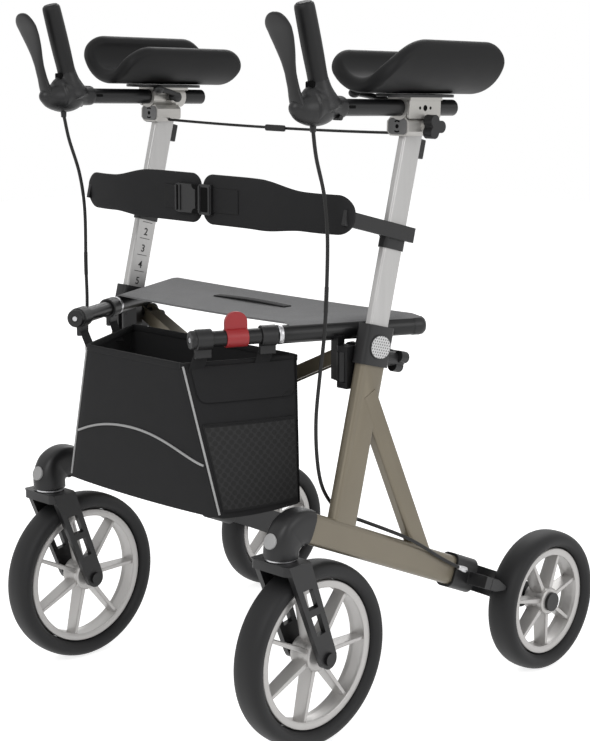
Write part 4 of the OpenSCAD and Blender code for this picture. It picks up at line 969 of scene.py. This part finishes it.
lip = SEAT_LIP * np.array([0.4, 0.7, 1])
across_seat = np.concatenate([-lip[::-1], np.linspace(0, 1, 49), 1 + lip])
seat_u, seat_v = np.meshgrid(across_seat, np.linspace(0, 1, 33))
seat_mid = seat_surface(seat_u, seat_v)
thin = SEAT_T * (1 - np.clip(np.minimum(seat_u, 1 - seat_u) / 0.02, 0.35, 1))
seat_top = seat_mid + np.stack([0 * thin, 0 * thin, SEAT_T / 2 - thin], -1)
seat_loop = np.concatenate([seat_top, seat_mid[:, ::-1] - (0, 0, SEAT_T / 2)], 1)
sling = make("seat_cloth", [capped(seat_loop)], sling_cloth, "left_frame", "seat_fabric",
             uv=seat_loop[..., :2] * MM, sharp=50)
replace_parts(sling, "seat_sling")
strap_u = np.linspace(STRAP_FROM, STRAP_TO, 40)
strap_path = seat_surface(strap_u, np.full(40, STRAP_AT_V)) + (0, 0, SEAT_T / 2 + 0.9)
strap_path[:, 2] += STRAP_LIFT * np.sin(np.pi * np.linspace(0, 1, 40))
strap_points = carried(round_box(15, 1.8, 0.8, 3)[:, ::-1], strap_path, (0, 1, 0))
pull = make("seat_pull_strap", [capped(strap_points)], webbing, "left_frame", "bag_fabric",
            uv=strap_points[..., :2] * MM)
folds([sling, pull])

# %% [markdown]
# ## Bag
# The bag is a soft nylon box that is wider at the bottom and at the rear. A cloth simulation would have to
# be pinned at each seam, so the bag is worked out as rings instead: each level is a four-cornered
# outline with round corners, and the cloth bulges a little between its seams.

# %% Bag shell
BAG_LOW, BAG_HIGH, BAG_REAR = 312.0, 512.0, -163.0
BAG_FRONT = {"low": -296.0, "high": -308.0}
BAG_WIDTHS = {"low": (158.0, 177.0), "high": (99.0, 171.5)}
BAG_CORNER, BAG_BULGE, BAG_BACK_RISE, BAG_HANG, BAG_WALL = 0.05, 4.0, 3.0, 4.0, 2.4
BAG_SIDE_UV, BAG_SEGMENTS = 0.27, 192


def bag_surface(u, h, out=0.0):
    """Point of the bag: u goes once round, 0 to 1 the front from right to left, then the left side,
    the back and the right side; h is the height from 0 to 1, and out moves it along the outward normal."""
    u, h = np.broadcast_arrays(np.asarray(u, float) % 4, np.asarray(h, float))
    front, rear = (low * (1 - h) + high * h for low, high in zip(BAG_WIDTHS["low"], BAG_WIDTHS["high"]))
    ahead = BAG_FRONT["low"] * (1 - h) + BAG_FRONT["high"] * h
    corners = np.stack([np.stack([-front, ahead], -1), np.stack([front, ahead], -1),
                        np.stack([rear, 0 * h + BAG_REAR], -1), np.stack([-rear, 0 * h + BAG_REAR], -1)], 0)
    k = np.floor(u).astype(int)
    t = u - k

    def corner(step):
        """The corner that many steps on from the start of each point's own side."""
        return np.take_along_axis(corners, ((k + step) % 4)[None, ..., None], 0)[0]

    def ease(d):
        """A parabola near a corner, which cuts it off in a round."""
        return np.where(d < BAG_CORNER, (BAG_CORNER - d) ** 2 / (4 * BAG_CORNER), 0)[..., None]

    before, start, end, after = (corner(step) for step in (-1, 0, 1, 2))
    flat = start + (end - start) * t[..., None] + ease(t) * (before - start) + ease(1 - t) * (after - end)
    along = unit(end - start)
    normal = np.stack([along[..., 1], -along[..., 0]], -1)
    puff = BAG_BULGE * np.sin(np.pi * t) ** 0.7 * np.sin(np.pi * np.clip(0.08 + 0.92 * h, 0, 1)) ** 0.8
    flat = flat + normal * (puff + out)[..., None]
    back = np.clip(1 - np.abs(u - 2.5) / 1.5, 0, 1)
    rise = BAG_BACK_RISE * np.clip(back * 1.4, 0, 1) ** 1.5 * np.clip((h - 0.6) / 0.4, 0, 1)
    hang = BAG_HANG * np.sin(np.pi * t) ** 0.6 * (1 - h) ** 3
    return np.stack([flat[..., 0], flat[..., 1], BAG_LOW + h * (BAG_HIGH - BAG_LOW) + rise - hang], -1)


def drawn_in(loop, share, z, flat):
    """A loop drawn in towards the bag's middle line by a share. Flat 1 lays it at height z, and less than 1
    leaves it some of its own rise and fall."""
    bag_middle = np.array([0, (BAG_FRONT["low"] + BAG_REAR) / 2, 0])
    drawn = bag_middle + (loop - bag_middle) * share
    drawn[..., 2] = z * flat + loop[..., 2] * (1 - flat)
    return drawn


FOOT_LOOPS = ((0.02, 1.5, 1), (0.5, 1.8, 1), (0.9, 1.4, 1), (0.985, 0.6, 0.985))
BED_LOOPS = ((0.98, 0.98), (0.5, 1), (0.02, 1))
ring_u = np.linspace(0, 4, BAG_SEGMENTS, endpoint=False)
levels = np.concatenate([np.linspace(0, 0.06, 4), np.linspace(0.1, 1, 34)])
outside = bag_surface(ring_u[None], levels[:, None])
inside = bag_surface(ring_u[None], levels[::-1, None], -BAG_WALL)
foot = np.stack([drawn_in(outside[0], share, BAG_LOW - drop, flat) for share, drop, flat in FOOT_LOOPS])
bed = np.stack([drawn_in(inside[-1], share, BAG_LOW + BAG_WALL, flat) for share, flat in BED_LOOPS])
shell_points = np.concatenate([foot, outside, inside, bed])
shell_uv = np.stack(np.broadcast_arrays(ring_u[None] * BAG_SIDE_UV, shell_points[..., 2] * MM), -1)
shell_uv[:len(foot)] = foot[..., :2] * MM
bag_shell = make("bag_shell", [capped(shell_points)], nylon, "left_frame", "bag_fabric",
                 uv=shell_uv, sharp=55)
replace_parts(bag_shell, "bag")
bag_round = path_length(np.vstack([outside[16], outside[16][:1]])) * MM
print("bag wall", round(bag_round, 3), "m round and", round((BAG_HIGH - BAG_LOW) * MM, 3), "m high")

# %% [markdown]
# ## Piping, pockets and flaps
# Reflective piping runs down the front corners and in a wave across the front, a hem stiffens the mouth,
# and each side has a net pocket under a flap. A picture of them would lie flat, so each is a mesh that
# follows the bag's own surface at a small distance.


# %% Piping and hem
def bead(u, h, diameter, out=0.6, sides=10):
    """A round bead sewn along a line on the bag."""
    return capped(carried(ring(diameter / 2, sides), bag_surface(u, h, out)))


WAVE = [(0, 0.35), (0.1, 0.41), (0.2, 0.45), (0.28, 0.472), (0.38, 0.486), (0.5, 0.490), (0.6, 0.478),
        (0.7, 0.455), (0.8, 0.416), (0.9, 0.368), (1, 0.334)]
wave_u = np.linspace(0.02, 0.98, 60)
wave_h = np.polynomial.Polynomial.fit(*zip(*WAVE), 6)(wave_u)
corner_h = np.linspace(0.02, 0.985, 60)
beads = [bead(wave_u, wave_h, 3.4)] + [bead(np.full(60, u), corner_h, 3.0, 0.4) for u in (0.001, 0.999)]
piping = make("bag_piping", beads, piping_grey, "left_frame", None)
hem_u = np.linspace(0, 4, BAG_SEGMENTS + 1)
hem_points = carried(round_box(4.4, 9, 1.4, 4), bag_surface(hem_u, 0.985, -1.2), (0, 0, 1))[:-1]
hem_uv = np.stack(np.broadcast_arrays(hem_u[:-1, None] * BAG_SIDE_UV, hem_points[..., 2] * MM), -1)
hem = make("bag_hem", [grid(hem_points, close_rows=True, close_cols=True)],
           webbing, "left_frame", "bag_fabric", uv=hem_uv)
print("beads", len(beads))


# %% Pockets and flaps
def patch(u_from, u_to, low, high, out, round_low=0.0):
    """A sewn-on panel: a stretch of the bag's surface moved outwards, with its lower corners rounded."""
    a = 0.5 - 0.5 * np.cos(np.linspace(0, np.pi, 65))
    edge = np.abs(2 * a - 1)
    base = low + round_low * (1 - np.sqrt(np.clip(1 - np.clip((edge - 0.84) / 0.16, 0, 1) ** 2, 0, 1)))
    rows = np.linspace(0, 1, 25)[:, None]
    u_line, h_line = u_from + a * (u_to - u_from), base + rows * (high - base)
    top, under = bag_surface(u_line, h_line, out), bag_surface(u_line, h_line, 0.1)
    return np.concatenate([top, under[:, ::-1]], 1)


PANELS = {"pocket": (nylon, (0.05, 0.95, 0.04, 0.60, 2.2)), "net": (net, (0.06, 0.94, 0.055, 0.585, 2.6)),
          "flap": (nylon, (0.07, 0.95, 0.745, 0.975, 3.0, 0.055))}
BAND_H, BAND_POINTS, BAND_SIDES = 0.60, 40, 10
side_pieces = []
for start in (1, 3):
    for name, (finish, (u_from, u_to, *rest)) in PANELS.items():
        shape = patch(start + u_from, start + u_to, *rest)
        side_pieces.append(make(f"bag_{name}_{start}", [capped(shape)], finish, "left_frame", "bag_fabric",
                                uv=shape[..., 1:] * MM))
    band_u = np.linspace(start + 0.06, start + 0.94, BAND_POINTS)
    band = bead(band_u, np.full(BAND_POINTS, BAND_H), 3.0, 1.6, BAND_SIDES)
    band_uv = np.repeat(band_u, BAND_SIDES)[:, None] * (1, 1)
    side_pieces.append(make(f"bag_pocket_band_{start}", [band], webbing, "left_frame", "bag_fabric",
                            uv=band_uv))
print("bag panels", len(side_pieces))

# %% [markdown]
# ## Bag straps
# The bag hangs on two bars by four short straps with moulded clips. The straps belong to the bag and ride
# with it, and the clips belong to the bars and swing with them, so each is a piece of its own.

# %% Bag straps
STRAP_AT, BAR_R, CLIP_HALF = (221.0, 311.0), 10.5, 11
CLIP_LOOP = [(BAR_R + 0.25, -CLIP_HALF), (BAR_R + 2.6, -CLIP_HALF), (BAR_R + 3.4, 1 - CLIP_HALF),
             (BAR_R + 3.4, CLIP_HALF - 1), (BAR_R + 2.6, CLIP_HALF), (BAR_R + 0.25, CLIP_HALF)]
strap_pieces = []
for word, side in SIDES.items():
    for number, s in enumerate(STRAP_AT):
        top = on_rail((-2.0, -BAR_R - 4.0, s))
        target_u = 1 + np.clip((BAG_FRONT["high"] - top[1]) / (BAG_FRONT["high"] - BAG_REAR), 0.1, 0.9)
        low = bag_surface(target_u, 0.93, -3.6)
        hang = top + (low - top) * np.linspace(0, 1, 16)[:, None]
        points = carried(round_box(2.0, 21, 0.7, 3), hang, unit(RAIL_WAY))
        strap_pieces.append(make(f"{word}_bag_strap_{number}", [capped(points)],
                                 webbing, "left_frame", "bag_fabric", side, uv=points[..., 1:] * MM))
        clip = turned(CLIP_LOOP + CLIP_LOOP[:1], on_rail((0, 0, s)), RAIL_WAY, 48)
        tongue_at = (-2, -BAR_R - 8, s - CLIP_HALF)
        tongue = slab(round_box(7, 14, 2), lambda p: on_rail(p + tongue_at), 2 * CLIP_HALF)
        make(f"{word}_bag_clip_{number}", [clip, tongue], plastic, f"{word}_gate", "black_plastic", side,
             soften=0.5)
folds([bag_shell, piping, hem] + side_pieces + strap_pieces)
print("bag straps", len(strap_pieces))

# %% [markdown]
# ## Back belt
# Each half of the belt is a flat padded band. Inflated cloth could show it, but would wrinkle as it folds.
# Here a superellipse section follows a line across the walker, tall near the middle, lower towards the
# outside, and closed with round ends that bend back. A side-release buckle with webbing patches holds the
# halves together.

# %% Belt halves
BELT_IN, BELT_OUT, BELT_Y, BELT_Z, BELT_T, BELT_BACK = 3.0, 270.0, -177.5, 713.8, 9.6, 18.0
BELT_HALF, BELT_NARROWS, BELT_DROP, BELT_ROUNDS, BELT_EDGE = 34.5, 8.5, 5, (19, 25), 4.6


def step(value, low, high):
    """0 below low, 1 above high, and a smooth rise between."""
    t = np.clip((value - low) / (high - low), 0, 1)
    return t * t * (3 - 2 * t)


belt_t = 0.5 - 0.5 * np.cos(np.linspace(0, np.pi, 97))
belt_x = BELT_IN + belt_t * (BELT_OUT - BELT_IN)
from_in, from_out = belt_x - BELT_IN + 0.2, BELT_OUT - belt_x + 0.2
half_h = BELT_HALF - BELT_NARROWS * step(belt_t, 0.42, 0.72)
half_h = half_h - round_off(from_in, BELT_ROUNDS[0]) - round_off(from_out, BELT_ROUNDS[1])
half_t = BELT_T / 2 - round_off(np.minimum(from_in, from_out), BELT_EDGE)
belt_back = BELT_Y + BELT_BACK * np.clip((belt_t - 0.5) / 0.5, 0, 1) ** 2
belt_level = BELT_Z - BELT_DROP * step(belt_t, 0.3, 0.85)
belt_line = np.stack([belt_x, belt_back, belt_level], -1)[:, None]
belt_oval = oval(2, 2, 3.2, 48)
belt_points = belt_line + np.stack([0 * half_t[:, None] * belt_oval[:, 0], half_t[:, None] * belt_oval[:, 0],
                                    half_h[:, None] * belt_oval[:, 1]], -1)
belt_pieces = []
for word, side in SIDES.items():
    half = make(f"belt_half_{word}", [capped(belt_points)], belt_cloth, "left_post", "bag_fabric", side,
                sharp=60, uv=belt_points[..., [0, 2]] * MM)
    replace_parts(half, "back_belt")
    belt_pieces.append(half)
print("belt halves", round(BELT_OUT - BELT_IN), "mm long")

# %% Buckle and webbing
face_y = BELT_Y - BELT_T / 2


def on_belt(w, h, r, x, stands, thickness):
    """A rounded plate on the front of the belt, whose near face stands that far off the cloth."""
    return slab(round_box(w, h, r), facing_front(x, face_y - stands, BELT_Z), thickness)


catch = [on_belt(42, 40, 6, -24, 7.0, 7), on_belt(26, 42, 4, 15, 6.4, 6.4)]
catch += [on_belt(3.4, 36, 1.6, x, 8.6, 2) for x in (-42, -34.5)]
catch += [on_belt(3.6, 38, 1.7, x, 7.8, 2) for x in (5, 25)]
buckle = make("buckle", catch, plastic, "left_post", "black_plastic", soften=0.7)
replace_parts(buckle, "belt_buckle")
# The buckle's openings are thin near-black inlays: painted shade where the buckle is open.
openings = [slab(arc_band(0.1, 7, a, a + 180), facing_front(-3.4, face_y - 7.1, BELT_Z + z), 0.5)
            for a, z in ((180, 20.2), (0, -20.2))]
openings += [on_belt(3.6, 34, 1.4, -38.2, 7.1, 0.5), on_belt(14, 34, 2, 15, 6.5, 0.4)]
opening_shade = make("buckle_openings", openings, painted_hole_shade, "left_post", "black_plastic")
sewn = [on_belt(w, 33, 1.5, x, 1.2, 1.6) for x, w in ((-59, 30), (52, 50))]
patches = make("belt_webbing", sewn, webbing, "left_post", "bag_fabric", soften=0.3,
               uv=np.concatenate([points[:, [0, 2]] for points, _ in sewn]) * MM)
folds(belt_pieces + [buckle, opening_shade, patches])
print("buckle plates", len(catch))

# %% [markdown]
# ## Red tab, rings and plugs
# The red tab releases the seat: its rounded plate stands on a ring round the near bar. Bright rings mark
# the joints of the rails, and moulded plugs close the ends of the bars. All are round or flat, so a turned
# profile or a slab shows them with few faces.

# %% Red tab, rings and end plugs
TAB_AT, TAB_W, TAB_RISE, TAB_T, TAB_HALF = 266.0, 31.0, 24.0, 6, 15
tab_tall = TAB_RISE + BAR_R
tab_outline = round_box(TAB_W, tab_tall, 14.5, 10)
tab_outline[:, 1] = np.where(tab_outline[:, 1] < 0, -tab_tall / 2, tab_outline[:, 1])
TAB_RING = [(BAR_R + 0.2, -TAB_HALF), (BAR_R + 1.6, -TAB_HALF), (BAR_R + 2.2, 0.6 - TAB_HALF),
            (BAR_R + 2.2, TAB_HALF - 0.6), (BAR_R + 1.6, TAB_HALF), (BAR_R + 0.2, TAB_HALF)]
tab_plate = slab(tab_outline, lambda p: on_rail(p[..., [2, 1, 0]] + (-3, tab_tall / 2, TAB_AT)), TAB_T)
tab_band = turned(TAB_RING + TAB_RING[:1], on_rail((0, 0, TAB_AT)), RAIL_WAY, 48)
tab = make("red_tab", [tab_plate, tab_band], red, "release_tab", "red_plastic", soften=1.2)
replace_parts(tab, "release_tab")
SCREW_AT = (0, 0, 329)
RAIL_TRIM = {
    "joint_ring": (205, steel, "axle_steel",
                   [(10.6, -3), (12.7, -3), (13.1, -2.4), (13.1, 2.4), (12.7, 3), (10.6, 3)]),
    "bar_plug": (327, plastic, "black_plastic",
                 [(11.8, -8), (12.4, -7), (12.4, 1), (11.4, 2.6), (6, 3.2), (5, 2.2), (0, 2.2)]),
    "rail_plug": (0, plastic, "black_plastic",
                  [(13.0, 12), (13.2, 2), (12.4, -2.5), (10, -5.6), (6, -7.2), (0, -7.8)])}
for word, side in SIDES.items():
    gate = f"{word}_gate"
    for name, (s, finish, slot, profile) in RAIL_TRIM.items():
        make(f"{word}_{name}", [turned(profile, on_rail((0, 0, s)), RAIL_WAY, 48)], finish, gate, slot, side)
    screw = disc(on_rail, SCREW_AT, (0, 0, 1), 3.6, 0.9)
    make(f"{word}_plug_screw", [screw], steel, gate, "axle_steel", side)
print("rail trim on each side", len(RAIL_TRIM) + 1)

# %% [markdown]
# ## Reflectors, ferrules and scale
# An oval reflector sits at the foot of each mast, a bright ferrule ends each cable, and a printed scale
# on each mast shows its height. A picture could carry the figures, but flat text made into a mesh stays
# sharp at any distance.

# %% Reflectors, strips and ferrules
LENS_X, LENS_BACK, LENS_S, LENS_T = 12.3, 0.5, 259.0, 1.6
FERRULE = [(2.4, -9), (3.4, -8.4), (3.6, -1), (4.2, 0), (4.2, 9), (3.0, 10)]
lens_outline = oval(38, 31, 2.15, 64)
lens_plate = slab(lens_outline, lambda p: on_mast(p[..., [2, 0, 1]] + (LENS_X, LENS_BACK, LENS_S)), LENS_T)
lens_edge = np.vstack([lens_outline, lens_outline[:1]]) + (LENS_BACK, LENS_S)
lens_edge = on_mast(np.insert(lens_edge, 0, LENS_X + 0.4, axis=1))
lens_rim = grid(carried(ring(1.3, 10), lens_edge, (1, 0, 0))[:-1], close_rows=True, close_cols=True)
end_way = unit(cable_path[-1] - cable_path[-6])
ferrule = turned(FERRULE, cable_path[-1] - 9 * end_way, end_way, 32)
strip = slab(round_box(9, 26, 1.5), lambda p: on_mast(p[..., [0, 2, 1]] + (0, 17.5, 530)), 10)
for word, side in SIDES.items():
    body = f"{word}_frame"
    make(f"{word}_side_reflector", [lens_plate], lens, body, None, side, soften=0.5,
         uv=np.tile(lens_outline, (2, 1)) * MM)
    make(f"{word}_reflector_rim", [lens_rim], plastic, body, "black_plastic", side)
    make(f"{word}_cable_ferrule", [ferrule], steel, body, "axle_steel", side)
    make(f"{word}_mast_strip", [strip], plastic, f"{word}_post", "black_plastic", side, soften=0.5)
print("reflector", round(np.ptp(lens_outline[:, 0])), "by", round(np.ptp(lens_outline[:, 1])), "mm")

# %% Scale on the masts
FIGURES = {"5": 296, "4": 321, "3": 346, "2": 371.5, "1": 396.5}
FIGURE_SIZE, FIGURE_OVER_LINE, INK_X = 15.5, 10, -6.15


def numeral(text, size, centre_s, word, side):
    """A printed figure on the inner face of a mast: a flat text made into a mesh, upright along the mast."""
    curve = bpy.data.curves.new("figure", "FONT")
    curve.body, curve.size, curve.align_x, curve.align_y = text, size * MM, "CENTER", "CENTER"
    curve.extrude, curve.offset = 0.00008, 0.00022
    writer = bpy.data.objects.new("figure", curve)
    bpy.context.scene.collection.objects.link(writer)
    bpy.context.view_layer.update()
    mesh = bpy.data.meshes.new_from_object(writer.evaluated_get(bpy.context.evaluated_depsgraph_get()))
    bpy.data.objects.remove(writer)
    inner = mirrored(on_mast((INK_X, 0, centre_s)), side)
    up, back, out = (unit(way(on_mast, v)) * (side, 1, 1) for v in ((0, 0, 1), (0, 1, 0), (1, 0, 0)))
    mesh.transform(Matrix((*np.stack([-side * back, up, -out, inner], -1).tolist(), (0, 0, 0, 1))))
    return dress(bpy.data.objects.new(f"{word}_figure_{text}", mesh), print_ink, f"{word}_post", None)


def scale_line(s):
    """A thin printed line across the inner face of a mast."""
    return slab(round_box(19, 0.9, 0.3, 3), lambda p: on_mast(p[..., [2, 0, 1]] + (INK_X - 0.1, 0, s)), 0.3)


lines = [scale_line(s - FIGURE_OVER_LINE) for s in FIGURES.values()]
for word, side in SIDES.items():
    make(f"{word}_scale_lines", lines, print_ink, f"{word}_post", None, side)
    for text, s in FIGURES.items():
        numeral(text, FIGURE_SIZE, s, word, side)
print("figures on each mast", len(FIGURES))

# %% [markdown]
# ## Rigid parts
# A mould or a press leaves no knife edge, and the thin bright line along each corner is what makes
# a part look real. A rounded-edge shader would fake it, but would not be in the mesh. The CAD
# parts keep their shape: a copy gets a small bevel and the right finish.

# %% Edges and finishes of the CAD parts
MOULDED = {"height_collar": 1.0, "height_knob": 1.6, "caster_fork": 1.4, "rear_bracket": 1.0,
           "brake_shoe": 1.2, "clamp_knob": 1.6, "pad_plate": 0.8, "belt_arm": 0.8}
EDGES = {part: (plastic, "black_plastic", width) for part, width in MOULDED.items()}
EDGES |= {"side_frame": (champagne, "frame_paint", 0.5), "fold_link": (champagne, "frame_paint", 0.6),
          "arm_clamp": (head_alloy, "mast_alloy", 0.8)}
PLAIN = {"mast": alloy, "front_axle": paint, "rear_axle": plastic, "arm_tube": paint, "seat_rail": paint}
for word in SIDES:
    for part, (finish, slot, width) in EDGES.items():
        moulded(f"{word}_{part}", finish, slot, width)
    for part, finish in PLAIN.items():
        part_mesh = nodes[f"{word}_{part}"].data
        part_mesh.materials.clear()
        part_mesh.materials.append(finish)
print("softened", 2 * len(EDGES), "parts, refinished", 2 * len(PLAIN))
